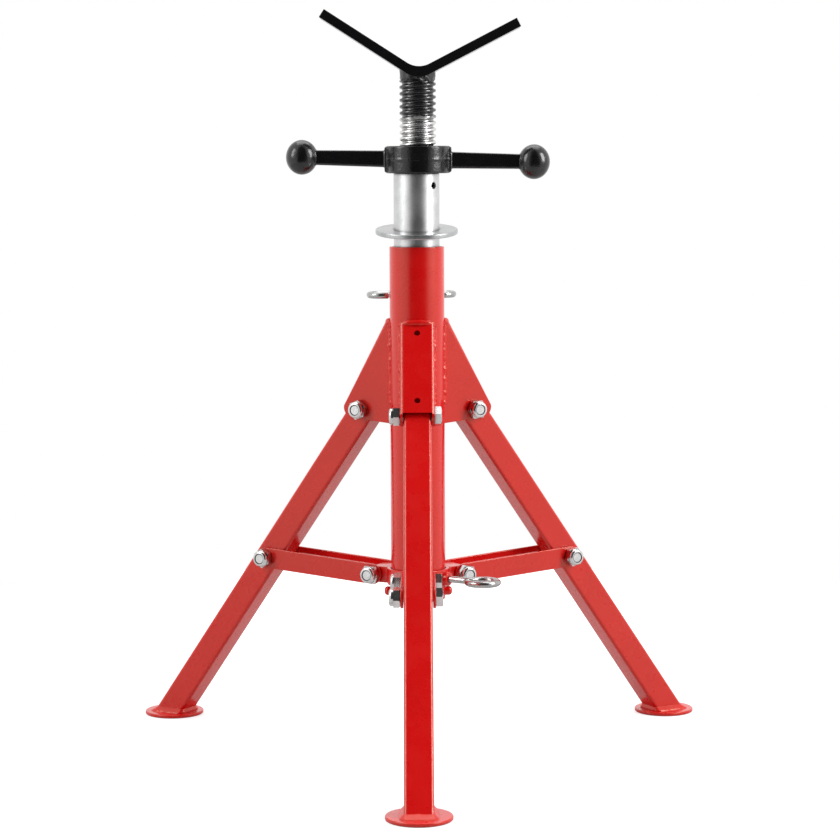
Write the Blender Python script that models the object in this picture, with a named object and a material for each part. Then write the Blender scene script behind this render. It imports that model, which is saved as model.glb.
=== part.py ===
# Folding pipe jack stand: square-tube legs on a round post, a pinned inner tube, and a screw with a V head.
# Metres, +Z up. The floor is z = 0, the post stands on the Z axis, and leg 1 points to -Y, at the viewer.
import math

import bmesh
import bpy
from mathutils import Matrix, Vector

# Driving dimensions
post_radius = 0.030
post_wall = 0.003
post_rise = 0.0546
post_bottom = 0.164
inner_clearance = 0.0020
inner_wall = 0.0025
inner_rise = 0.0628
inner_bottom = 0.196
pin_hole_pitch = 0.121
pin_hole_inset = 0.0130
pin_hole_radius = 0.0038
leg_width = 0.030
leg_wall = 0.002
leg_hinge_reach = 0.0328
leg_hinge_height = 0.373
leg_foot_radius = 0.3328
leg_head_length = 0.009
foot_radius = 0.034
foot_thickness = 0.004
bracket_sheet = 0.0030
bracket_clearance = 0.0008
bracket_rise = 0.0930
bracket_skirt = 0.0138
bracket_top_reach = 0.0008
bracket_corner_reach = 0.0208
bracket_edge_radius = 0.012
bracket_edge_lift = 0.0020
bracket_corner_lift = 0.0060
bracket_web_lift = 0.0060
bracket_hole_radius = 0.0033
bracket_hole_low_inset = 0.0144
bracket_hole_high_inset = 0.0124
brace_reach = 0.2173
brace_height = 0.023
brace_thickness = 0.003
brace_clearance = 0.0005
collar_wall = 0.0044
collar_clearance = 0.0001
collar_gap = 0.0079
collar_height = 0.0184
lug_pivot_reach = 0.01455
lug_pivot_lift = 0.0094
lug_end_radius = 0.0090
lug_side_clearance = 0.0004
stop_rod_radius = 0.0050
stop_rod_lift = 0.0084
stop_rod_reach = 0.0075
bolt_radius = 0.0060
bolt_across_flats = 0.019
bolt_head_height = 0.0075
bolt_bore_clearance = 0.0001
nut_height = 0.0120
nut_hex_height = 0.0085
nut_crown_radius = 0.0078
nut_bolt_end = 0.0010
washer_reach = 0.0150
washer_thickness = 0.005
washer_lift = 0.0166
washer_tilt_deg = 7.3
pin_rod_radius = 0.00372
pin_tip_clearance = 0.0003
height_pin_lift = 0.0269
height_pin_left_azimuth_deg = 228.7
height_pin_right_azimuth_deg = 149.3
height_pin_ring_reach = 0.0205
height_pin_ring_radius = 0.0180
collar_pin_azimuth_deg = 58.0
collar_pin_ring_reach = 0.0485
collar_pin_ring_radius = 0.0200
collar_pin_lift = 0.0082
collar_pin_boss_radius = 0.0075
collar_pin_boss_length = 0.0060
hub_wall = 0.0146
hub_height = 0.0297
hub_base_gap = 0.0003
hub_boss_length = 0.0019
hub_boss_half_width = 0.0095
hub_edge = 0.0012
handle_ball_reach = 0.0920
handle_ball_half_width = 0.0174
handle_ball_half_height = 0.0190
handle_arm_radius_hub = 0.0091
handle_arm_radius_ball = 0.0079
handle_tilt_deg = -1.35
screw_radius = 0.0200
screw_offset = 0.0018
screw_thread_depth = 0.0030
screw_pitch = 0.0070
screw_depth = 0.0704
screw_reach = 0.1006
screw_clearance = 0.0001
vee_arm_length = 0.120
vee_thickness = 0.0103
vee_width = 0.050
vee_included_deg = 120.0
vee_tilt_deg = 2.8
vee_inner_radius = 0.015
vee_apex_offset = 0.0004
vee_apex_lift = 0.0112
weld_reach = 0.0006
fit_gap = 0.00002
cut_margin = 0.010

# Shares and counts
thread_root_share = 0.46
thread_flank_share = 0.14
leg_azimuths_deg = (0.0, 120.0, 240.0)
nut_sides = (-1, -1, 1)
tube_steps = 40
round_steps = 24
bolt_steps = 20
pin_steps = 12
ring_steps = 20
ball_steps = 10
thread_steps = 14
corner_steps = 5
bracket_edge_share = 0.45
ring_open_deg = 24.0
ring_neck_deg = 30.0
ring_elbow_share = 0.42
elbow_steps = 4

# Derived radii, each from the piece that carries it
inner_radius = post_radius - post_wall - inner_clearance
leg_hinge_radius = post_radius + leg_hinge_reach
bracket_top_radius = post_radius + bracket_top_reach
bracket_corner_radius = leg_hinge_radius + bracket_corner_reach
collar_outer_radius = post_radius + collar_clearance + collar_wall
lug_pivot_radius = collar_outer_radius + lug_pivot_reach
stop_rod_half_length = post_radius + stop_rod_reach
washer_radius = post_radius + washer_reach
height_pin_ring_centre = post_radius + height_pin_ring_reach
collar_pin_ring_centre = collar_outer_radius + collar_pin_ring_reach
screw_root_radius = screw_radius - screw_thread_depth
hub_radius = screw_radius + hub_wall
hub_boss_reach = hub_radius + hub_boss_length
handle_ball_centre = hub_radius + handle_ball_reach
weld_radius = screw_radius + weld_reach

# Derived heights, each from the piece that carries it
bracket_bottom = leg_hinge_height - bracket_skirt
bracket_edge_height = leg_hinge_height + bracket_edge_lift
bracket_web_bottom = leg_hinge_height + bracket_web_lift
bracket_corner_height = leg_hinge_height + bracket_corner_lift
bracket_top = bracket_corner_height + bracket_rise
height_pin_height = bracket_top + height_pin_lift
post_top = height_pin_height + post_rise
washer_height = post_top + washer_lift
inner_top = washer_height + inner_rise
pin_hole_top_height = inner_top - pin_hole_inset
screw_bottom = inner_top - screw_depth
screw_top = inner_top + screw_reach
vee_apex_height = screw_top + vee_apex_lift
stop_rod_height = post_bottom + stop_rod_lift
collar_bottom = stop_rod_height + collar_gap
collar_top = collar_bottom + collar_height
lug_pivot_height = collar_bottom + lug_pivot_lift
collar_pin_height = collar_bottom + collar_pin_lift

# Derived values
drop = leg_hinge_height - foot_thickness
leg_angle = math.atan2(leg_foot_radius - leg_hinge_radius, drop)
leg_down = Vector((math.sin(leg_angle), -math.cos(leg_angle)))
leg_side = Vector((math.cos(leg_angle), math.sin(leg_angle)))
leg_half = leg_width / 2
leg_pivot = Vector((leg_hinge_radius, leg_hinge_height)) + brace_reach * leg_down
brace_inner_face = leg_half + brace_clearance
brace_outer_face = brace_inner_face + brace_thickness
bracket_inner_face = leg_half + bracket_clearance
bracket_outer_face = bracket_inner_face + bracket_sheet
inner_bore = inner_radius - inner_wall

# Scene and collections
for old in list(bpy.data.objects):
    bpy.data.objects.remove(old, do_unlink=True)

stand = bpy.data.collections.new("pipe_jack_stand")
bpy.context.scene.collection.children.link(stand)
tools = bpy.data.collections.new("cutters")
bpy.context.scene.collection.children.link(tools)
tools.hide_render = True


def material(name, colour, metallic, roughness):
    made = bpy.data.materials.new(name)
    made.use_nodes = True
    shader = made.node_tree.nodes["Principled BSDF"]
    shader.inputs["Base Color"].default_value = (*colour, 1.0)
    shader.inputs["Metallic"].default_value = metallic
    shader.inputs["Roughness"].default_value = roughness
    made.diffuse_color = (*colour, 1.0)
    return made


red = material("red_powder_coat", (0.62, 0.012, 0.012), 0.0, 0.32)
black = material("black_paint", (0.012, 0.012, 0.013), 0.0, 0.28)
zinc = material("satin_zinc", (0.62, 0.63, 0.65), 1.0, 0.34)
steel = material("bare_steel", (0.40, 0.39, 0.38), 1.0, 0.38)
bright = material("bright_zinc", (0.74, 0.75, 0.77), 1.0, 0.22)


# Building helpers
def about_z(azimuth_deg):
    # Local X points outwards at the azimuth, local Y runs along the tangent, and local Z is up.
    return Matrix.Rotation(math.radians(azimuth_deg - 90.0), 4, "Z")


def finish(name, mesh_data, paint, place, hidden=False):
    bmesh.ops.recalc_face_normals(mesh_data, faces=mesh_data.faces[:])
    mesh = bpy.data.meshes.new(name)
    mesh_data.to_mesh(mesh)
    mesh_data.free()
    made = bpy.data.objects.new(name, mesh)
    made.matrix_world = place
    if hidden:
        tools.objects.link(made)
        made.hide_render = True
        made.display_type = "WIRE"
    else:
        stand.objects.link(made)
        mesh.materials.append(paint)
    return made


def turned(name, profile, steps, paint, place, hidden=False, closed=False):
    # Turns (radius, height) points round local Z. A closed profile makes a ring.
    shape = bmesh.new()
    rings = []
    for radius, height in profile:
        if radius == 0:
            rings.append([shape.verts.new((0, 0, height))])
            continue
        ring = []
        for step in range(steps):
            angle = 2 * math.pi * step / steps
            ring.append(shape.verts.new((radius * math.cos(angle), radius * math.sin(angle), height)))
        rings.append(ring)
    pairs = list(zip(rings, rings[1:]))
    if closed:
        pairs.append((rings[-1], rings[0]))
    for low, high in pairs:
        for step in range(steps):
            after = (step + 1) % steps
            corners = [low[step % len(low)], low[after % len(low)]]
            corners += [high[after % len(high)], high[step % len(high)]]
            unique = list(dict.fromkeys(corners))
            if len(unique) > 2:
                shape.faces.new(unique)
    return finish(name, shape, paint, place, hidden)


def plate(name, outline, near, far, paint, place, hidden=False):
    # Extrudes an outline of local (x, z) points along local Y, from near to far.
    shape = bmesh.new()
    front = [shape.verts.new((x, near, z)) for x, z in outline]
    back = [shape.verts.new((x, far, z)) for x, z in outline]
    shape.faces.new(front)
    shape.faces.new(back[::-1])
    count = len(outline)
    for index in range(count):
        after = (index + 1) % count
        shape.faces.new((front[index], back[index], back[after], front[after]))
    return finish(name, shape, paint, place, hidden)


def rounds(x, z, radius, steps, start=0.0, sweep=2 * math.pi):
    whole = sweep >= 2 * math.pi
    count = steps if whole else steps + 1
    found = []
    for step in range(count):
        angle = start + sweep * step / steps
        found.append((x + radius * math.cos(angle), z + radius * math.sin(angle)))
    return found


def bar_along_y(name, x, z, radius, near, far, steps, paint, place, hidden=False):
    return plate(name, rounds(x, z, radius, steps), near, far, paint, place, hidden)


def combine(target, other, operation):
    step = target.modifiers.new(operation.lower(), "BOOLEAN")
    step.operation = operation
    step.solver = "EXACT"
    step.object = other
    return target


def cut(target, other):
    return combine(target, other, "DIFFERENCE")


def join(target, other):
    return combine(target, other, "UNION")


def bolt_head(name, x, z, side, face, inner_end, paint, place):
    # A hexagon head whose face bears at the given distance, with a shank that runs to inner_end.
    far_face = face + bolt_head_height
    corner = bolt_across_flats / 2 / math.cos(math.pi / 6)
    chamfer = bolt_head_height / 6
    made = hexagon(name, x, z, corner, side, face, far_face, chamfer, paint, place)
    shank_start = face + bolt_head_height / 2
    near, far = sorted((side * inner_end, side * shank_start))
    shank = bar_along_y(name + "_shank", x, z, bolt_radius, near, far, bolt_steps, None, place, True)
    return join(made, shank)


def hexagon(name, x, z, corner, side, low, high, chamfer, paint, place):
    shape = bmesh.new()
    layers = []
    for radius, depth in ((corner, low), (corner, high - chamfer), (corner - chamfer, high)):
        points = rounds(x, z, radius, 6, math.pi / 6)
        layers.append([shape.verts.new((px, side * depth, pz)) for px, pz in points])
    shape.faces.new(layers[0])
    shape.faces.new(layers[-1])
    for low_ring, high_ring in zip(layers, layers[1:]):
        for index in range(6):
            after = (index + 1) % 6
            shape.faces.new((low_ring[index], low_ring[after], high_ring[after], high_ring[index]))
    return finish(name, shape, paint, place)


def lock_nut(name, x, z, side, face, bore, paint, place):
    # A nut with a round crown, a recess in its end, and a bore of the given radius, or none when bore is 0.
    corner = bolt_across_flats / 2 / math.cos(math.pi / 6)
    made = hexagon(name, x, z, corner, side, face, face + nut_hex_height, nut_hex_height / 8, paint, place)
    crown_end = side * (face + nut_height)
    crown_start = side * (face + nut_hex_height / 2)
    near, far = sorted((crown_start, crown_end))
    crown = bar_along_y(name + "_crown", x, z, nut_crown_radius, near, far, bolt_steps, None, place, True)
    join(made, crown)
    if bore:
        near, far = sorted((side * (face - cut_margin), side * (face + nut_height + cut_margin)))
        hole = bar_along_y(name + "_bore", x, z, bore, near, far, bolt_steps, None, place, True)
        cut(made, hole)
    return made


def ring_pin(name, azimuth_deg, height, tip, ring_centre, ring_radius, turn):
    # A round rod whose outer end is bent into an open ring. Its shaft lies on local X.
    # Turn picks the side that it bends to.
    bend_radius = ring_radius - pin_rod_radius
    start = math.pi + math.radians(ring_neck_deg)
    sweep = 2 * math.pi - math.radians(ring_neck_deg + ring_open_deg)
    neck = Vector((ring_centre + bend_radius * math.cos(start), bend_radius * math.sin(start), 0))
    neck_along = Vector((-math.sin(start), math.cos(start), 0))
    elbow = neck - neck_along * (neck.y / neck_along.y)
    shaft_end = elbow - Vector(((neck - elbow).length * ring_elbow_share, 0, 0))
    path = [Vector((tip, 0, 0))]
    for step in range(elbow_steps):
        share = step / elbow_steps
        first = shaft_end.lerp(elbow, share)
        path.append(first.lerp(elbow.lerp(neck, share), share))
    for step in range(ring_steps + 1):
        angle = start + sweep * step / ring_steps
        path.append(Vector((ring_centre + bend_radius * math.cos(angle), bend_radius * math.sin(angle), 0)))
    path = [Vector((point.x, point.y * turn, 0)) for point in path]
    shape = bmesh.new()
    rings = []
    for index, point in enumerate(path):
        before = path[max(index - 1, 0)]
        after = path[min(index + 1, len(path) - 1)]
        along = (after - before).normalized()
        across = Vector((-along.y, along.x, 0))
        ring = []
        for step in range(pin_steps):
            angle = 2 * math.pi * step / pin_steps
            offset = across * math.cos(angle) * pin_rod_radius
            offset.z = math.sin(angle) * pin_rod_radius
            ring.append(shape.verts.new(point + offset))
        rings.append(ring)
    for low_ring, high_ring in zip(rings, rings[1:]):
        for step in range(pin_steps):
            after_step = (step + 1) % pin_steps
            corners = (low_ring[step], low_ring[after_step], high_ring[after_step], high_ring[step])
            shape.faces.new(corners)
    shape.faces.new(rings[0])
    shape.faces.new(rings[-1][::-1])
    place = Matrix.Translation((0, 0, height)) @ about_z(azimuth_deg)
    return finish(name, shape, bright, place)


def radial_cutter(name, azimuth_deg, height, radius, start, end, steps):
    place = Matrix.Translation((0, 0, height)) @ about_z(azimuth_deg) @ Matrix.Rotation(math.pi / 2, 4, "Y")
    return turned(name, [(0, start), (radius, start), (radius, end), (0, end)], steps, None, place, True)


upright = Matrix.Identity(4)
screw_axis = Matrix.Translation((screw_offset, 0, 0))

# Main post
post_profile = [
    (post_radius, post_bottom),
    (post_radius, post_top),
    (post_radius - post_wall, post_top),
    (post_radius - post_wall, post_bottom),
]
post = turned("main_tube", post_profile, tube_steps, red, upright, closed=True)
reach = post_radius + cut_margin
for label, azimuth in (("left", height_pin_left_azimuth_deg), ("right", height_pin_right_azimuth_deg)):
    hole = radial_cutter(
        "post_hole_" + label, azimuth, height_pin_height, pin_hole_radius, cut_margin, reach, pin_steps
    )
    cut(post, hole)
collar_hole = radial_cutter(
    "post_hole_collar",
    collar_pin_azimuth_deg,
    collar_pin_height,
    pin_hole_radius,
    cut_margin,
    reach,
    pin_steps,
)
cut(post, collar_hole)
rod_cutter = radial_cutter(
    "post_hole_rod", 90.0, stop_rod_height, stop_rod_radius + fit_gap, -reach, reach, bolt_steps
)
cut(post, rod_cutter)

# Rod that the collar comes down on
rod_place = Matrix.Translation((0, 0, stop_rod_height)) @ about_z(90.0) @ Matrix.Rotation(math.pi / 2, 4, "Y")
rod_edge = stop_rod_radius / 6
rod_profile = [
    (0, -stop_rod_half_length),
    (stop_rod_radius - rod_edge, -stop_rod_half_length),
    (stop_rod_radius, -stop_rod_half_length + rod_edge),
    (stop_rod_radius, stop_rod_half_length - rod_edge),
    (stop_rod_radius - rod_edge, stop_rod_half_length),
    (0, stop_rod_half_length),
]
turned("collar_stop_rod", rod_profile, bolt_steps, red, rod_place)

# Inner tube with its line of pin holes
inner_profile = [
    (inner_radius, inner_bottom),
    (inner_radius, inner_top),
    (inner_bore, inner_top),
    (inner_bore, inner_bottom),
]
inner = turned("inner_tube", inner_profile, tube_steps, zinc, upright, closed=True)
hole_height = pin_hole_top_height
hole_index = 1
while hole_height > inner_bottom + pin_hole_pitch / 2:
    hole = radial_cutter(
        "inner_hole_%d" % hole_index,
        height_pin_left_azimuth_deg,
        hole_height,
        pin_hole_radius,
        -reach,
        reach,
        pin_steps,
    )
    cut(inner, hole)
    hole_height -= pin_hole_pitch
    hole_index += 1

# Stop washer on the inner tube, set a little askew
washer_place = Matrix.Translation((0, 0, washer_height))
washer_place = washer_place @ Matrix.Rotation(math.radians(washer_tilt_deg), 4, "X")
washer_half = washer_thickness / 2
washer_profile = [
    (0, -washer_half),
    (washer_radius, -washer_half),
    (washer_radius, washer_half),
    (0, washer_half),
]
washer = turned("stop_washer", washer_profile, tube_steps, zinc, washer_place)
washer_bore = turned(
    "washer_bore",
    [
        (0, washer_height - cut_margin * 2),
        (inner_radius + fit_gap, washer_height - cut_margin * 2),
        (inner_radius + fit_gap, washer_height + cut_margin * 2),
        (0, washer_height + cut_margin * 2),
    ],
    tube_steps,
    None,
    upright,
    True,
)
cut(washer, washer_bore)

# Ring pins
tip_radius = inner_radius + pin_tip_clearance
for label, azimuth, turn in (
    ("left", height_pin_left_azimuth_deg, 1),
    ("right", height_pin_right_azimuth_deg, -1),
):
    ring_pin(
        "height_pin_" + label,
        azimuth,
        height_pin_height,
        tip_radius,
        height_pin_ring_centre,
        height_pin_ring_radius,
        turn,
    )
ring_pin(
    "collar_pin",
    collar_pin_azimuth_deg,
    collar_pin_height,
    post_radius + pin_tip_clearance,
    collar_pin_ring_centre,
    collar_pin_ring_radius,
    -1,
)

# Sliding collar, with a boss round its pin
collar_bore = post_radius + collar_clearance
collar_edge = (collar_outer_radius - collar_bore) / 5
collar_profile = [
    (collar_bore, collar_bottom),
    (collar_outer_radius - collar_edge, collar_bottom),
    (collar_outer_radius, collar_bottom + collar_edge),
    (collar_outer_radius, collar_top - collar_edge),
    (collar_outer_radius - collar_edge, collar_top),
    (collar_bore, collar_top),
]
collar = turned("collar", collar_profile, tube_steps, red, upright, closed=True)
pin_bore = radial_cutter(
    "collar_bore",
    collar_pin_azimuth_deg,
    collar_pin_height,
    pin_hole_radius,
    cut_margin,
    reach * 2,
    pin_steps,
)
cut(collar, pin_bore)
boss_place = Matrix.Translation((0, 0, collar_pin_height)) @ about_z(collar_pin_azimuth_deg)
boss_place = boss_place @ Matrix.Rotation(math.pi / 2, 4, "Y")
boss_start = collar_bore
boss_end = collar_outer_radius + collar_pin_boss_length
boss_profile = [
    (0, boss_start),
    (collar_pin_boss_radius, boss_start),
    (collar_pin_boss_radius, boss_end),
    (0, boss_end),
]
boss = turned("collar_pin_boss", boss_profile, bolt_steps, red, boss_place)
collar_shell = turned(
    "collar_shell",
    [
        (0, collar_bottom - cut_margin),
        (collar_outer_radius + fit_gap, collar_bottom - cut_margin),
        (collar_outer_radius + fit_gap, collar_top + cut_margin),
        (0, collar_top + cut_margin),
    ],
    tube_steps,
    None,
    upright,
    True,
)
cut(boss, collar_shell)
cut(boss, pin_bore)

# Handle nut: a hub with two side bosses, and two arms that end in balls
hub_bottom = inner_top + hub_base_gap
hub_top = hub_bottom + hub_height
hub_middle = (hub_bottom + hub_top) / 2
hub_profile = [
    (0, hub_bottom),
    (hub_radius - hub_edge, hub_bottom),
    (hub_radius, hub_bottom + hub_edge),
    (hub_radius, hub_top - hub_edge),
    (hub_radius - hub_edge, hub_top),
    (0, hub_top),
]
handle = turned("handle_nut", hub_profile, tube_steps, black, screw_axis)
hub_place = Matrix.Translation((screw_offset, 0, hub_middle))
handle_place = hub_place @ Matrix.Rotation(math.radians(-handle_tilt_deg), 4, "Y")
boss_half_height = hub_height / 2 - hub_edge
side_boss = plate(
    "handle_side_bosses",
    [
        (-hub_boss_reach, -boss_half_height),
        (hub_boss_reach, -boss_half_height),
        (hub_boss_reach, boss_half_height),
        (-hub_boss_reach, boss_half_height),
    ],
    -hub_boss_half_width,
    hub_boss_half_width,
    None,
    hub_place,
    True,
)
join(handle, side_boss)
lengthwise = handle_place @ Matrix.Rotation(math.pi / 2, 4, "Y")
for label, side in (("right", 1), ("left", -1)):
    arm_place = lengthwise if side > 0 else handle_place @ Matrix.Rotation(-math.pi / 2, 4, "Y")
    arm_start = hub_radius - hub_edge * 2
    arm = turned(
        "handle_arm_" + label,
        [
            (0, arm_start),
            (handle_arm_radius_hub, arm_start),
            (handle_arm_radius_ball, handle_ball_centre),
            (0, handle_ball_centre),
        ],
        bolt_steps,
        None,
        arm_place,
        True,
    )
    join(handle, arm)
    ball_profile = []
    for step in range(ball_steps + 1):
        angle = -math.pi / 2 + math.pi * step / ball_steps
        radius = handle_ball_half_width * math.cos(angle)
        if step in (0, ball_steps):
            radius = 0
        ball_profile.append((radius, handle_ball_half_height * math.sin(angle)))
    ball_place = handle_place @ Matrix.Translation((side * handle_ball_centre, 0, 0))
    ball = turned("handle_ball_" + label, ball_profile, bolt_steps, None, ball_place, True)
    join(handle, ball)
hub_bore = turned(
    "handle_bore",
    [
        (0, hub_bottom - cut_margin),
        (screw_radius + screw_clearance, hub_bottom - cut_margin),
        (screw_radius + screw_clearance, hub_top + cut_margin),
        (0, hub_top + cut_margin),
    ],
    tube_steps,
    None,
    screw_axis,
    True,
)
cut(handle, hub_bore)


# Lifting screw with a trapezoid thread
def threaded_rod(name, bottom, top):
    shape = bmesh.new()
    root_run = screw_pitch * thread_root_share
    flank_run = screw_pitch * thread_flank_share
    crest_run = screw_pitch - root_run - flank_run * 2
    points = [
        (screw_root_radius, 0),
        (screw_root_radius, root_run),
        (screw_radius, root_run + flank_run),
        (screw_radius, root_run + flank_run + crest_run),
    ]
    turns = math.ceil((top - bottom) / screw_pitch) + 2
    start = bottom - screw_pitch
    columns = []
    for step in range(thread_steps):
        angle = 2 * math.pi * step / thread_steps
        rise = screw_pitch * step / thread_steps
        column = []
        for turn in range(turns + 1):
            for radius, offset in points:
                height = start + turn * screw_pitch + offset + rise
                column.append(shape.verts.new((radius * math.cos(angle), radius * math.sin(angle), height)))
        columns.append(column)
    count = len(points)
    rows = len(columns[0])
    last = thread_steps - 1
    for step in range(last):
        for row in range(rows - 1):
            here, there = columns[step], columns[step + 1]
            shape.faces.new((here[row], there[row], there[row + 1], here[row + 1]))
    for row in range(rows - 1 - count):
        here, there = columns[last], columns[0]
        shape.faces.new((here[row], there[row + count], there[row + count + 1], here[row + 1]))
    low_centre = shape.verts.new((0, 0, start - screw_pitch))
    low_loop = [column[0] for column in columns] + [columns[0][row] for row in range(count, 0, -1)]
    for index, vertex in enumerate(low_loop):
        shape.faces.new((vertex, low_loop[(index + 1) % len(low_loop)], low_centre))
    high_centre = shape.verts.new((0, 0, start + (turns + 3) * screw_pitch))
    high_loop = [column[-1] for column in columns]
    high_loop += [columns[last][row] for row in range(rows - 2, rows - 2 - count, -1)]
    for index, vertex in enumerate(high_loop):
        shape.faces.new((vertex, high_loop[(index + 1) % len(high_loop)], high_centre))
    return finish(name, shape, steel, screw_axis)


screw = threaded_rod("lift_screw", screw_bottom, screw_top)
end_reach = screw_pitch * 8
for label, low, high in (
    ("bottom", screw_bottom - end_reach, screw_bottom),
    ("top", screw_top, screw_top + end_reach),
):
    trim = turned(
        "screw_trim_" + label,
        [(0, low), (screw_radius * 2, low), (screw_radius * 2, high), (0, high)],
        round_steps,
        None,
        screw_axis,
        True,
    )
    cut(screw, trim)


# V head, bent from flat bar
def vee_outline():
    half_angle = math.radians(vee_included_deg) / 2
    rise = math.pi / 2 - half_angle
    outline = []
    inner_centre = vee_inner_radius / math.sin(half_angle)
    outer_radius = vee_inner_radius + vee_thickness
    tip_inner = Vector((vee_arm_length * math.sin(half_angle), vee_arm_length * math.cos(half_angle)))
    outwards = Vector((math.sin(rise), -math.cos(rise)))
    tip_outer = tip_inner + outwards * vee_thickness
    steps = corner_steps * 2
    outline.append((-tip_inner.x, tip_inner.y))
    for step in range(steps + 1):
        angle = -math.pi / 2 - rise + 2 * rise * step / steps
        x = vee_inner_radius * math.cos(angle)
        outline.append((x, inner_centre + vee_inner_radius * math.sin(angle)))
    outline.append((tip_inner.x, tip_inner.y))
    outline.append((tip_outer.x, tip_outer.y))
    for step in range(steps + 1):
        angle = -math.pi / 2 + rise - 2 * rise * step / steps
        outline.append((outer_radius * math.cos(angle), inner_centre + outer_radius * math.sin(angle)))
    outline.append((-tip_outer.x, tip_outer.y))
    return outline


vee_place = screw_axis @ Matrix.Translation((vee_apex_offset, 0, vee_apex_height))
vee_place = vee_place @ Matrix.Rotation(math.radians(vee_tilt_deg), 4, "Y")
plate("v_head", vee_outline(), -vee_width / 2, vee_width / 2, black, vee_place)

# Weld between the screw and the V head
weld_low = screw_top
weld_profile = [(0, weld_low), (weld_radius, weld_low), (weld_radius, vee_apex_height + cut_margin * 2)]
weld_profile.append((0, vee_apex_height + cut_margin * 2))
weld = turned("v_head_weld", weld_profile, round_steps, black, screw_axis)
vee_above = vee_outline()
vee_top = vee_arm_length * 2
vee_cut_outline = [(x, z - fit_gap) for x, z in vee_above[len(vee_above) // 2 :]]
vee_cut_outline += [(-vee_arm_length, vee_top), (vee_arm_length, vee_top)]
vee_cutter = plate("weld_vee_cut", vee_cut_outline, -vee_width, vee_width, None, vee_place, True)
cut(weld, vee_cutter)

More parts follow.
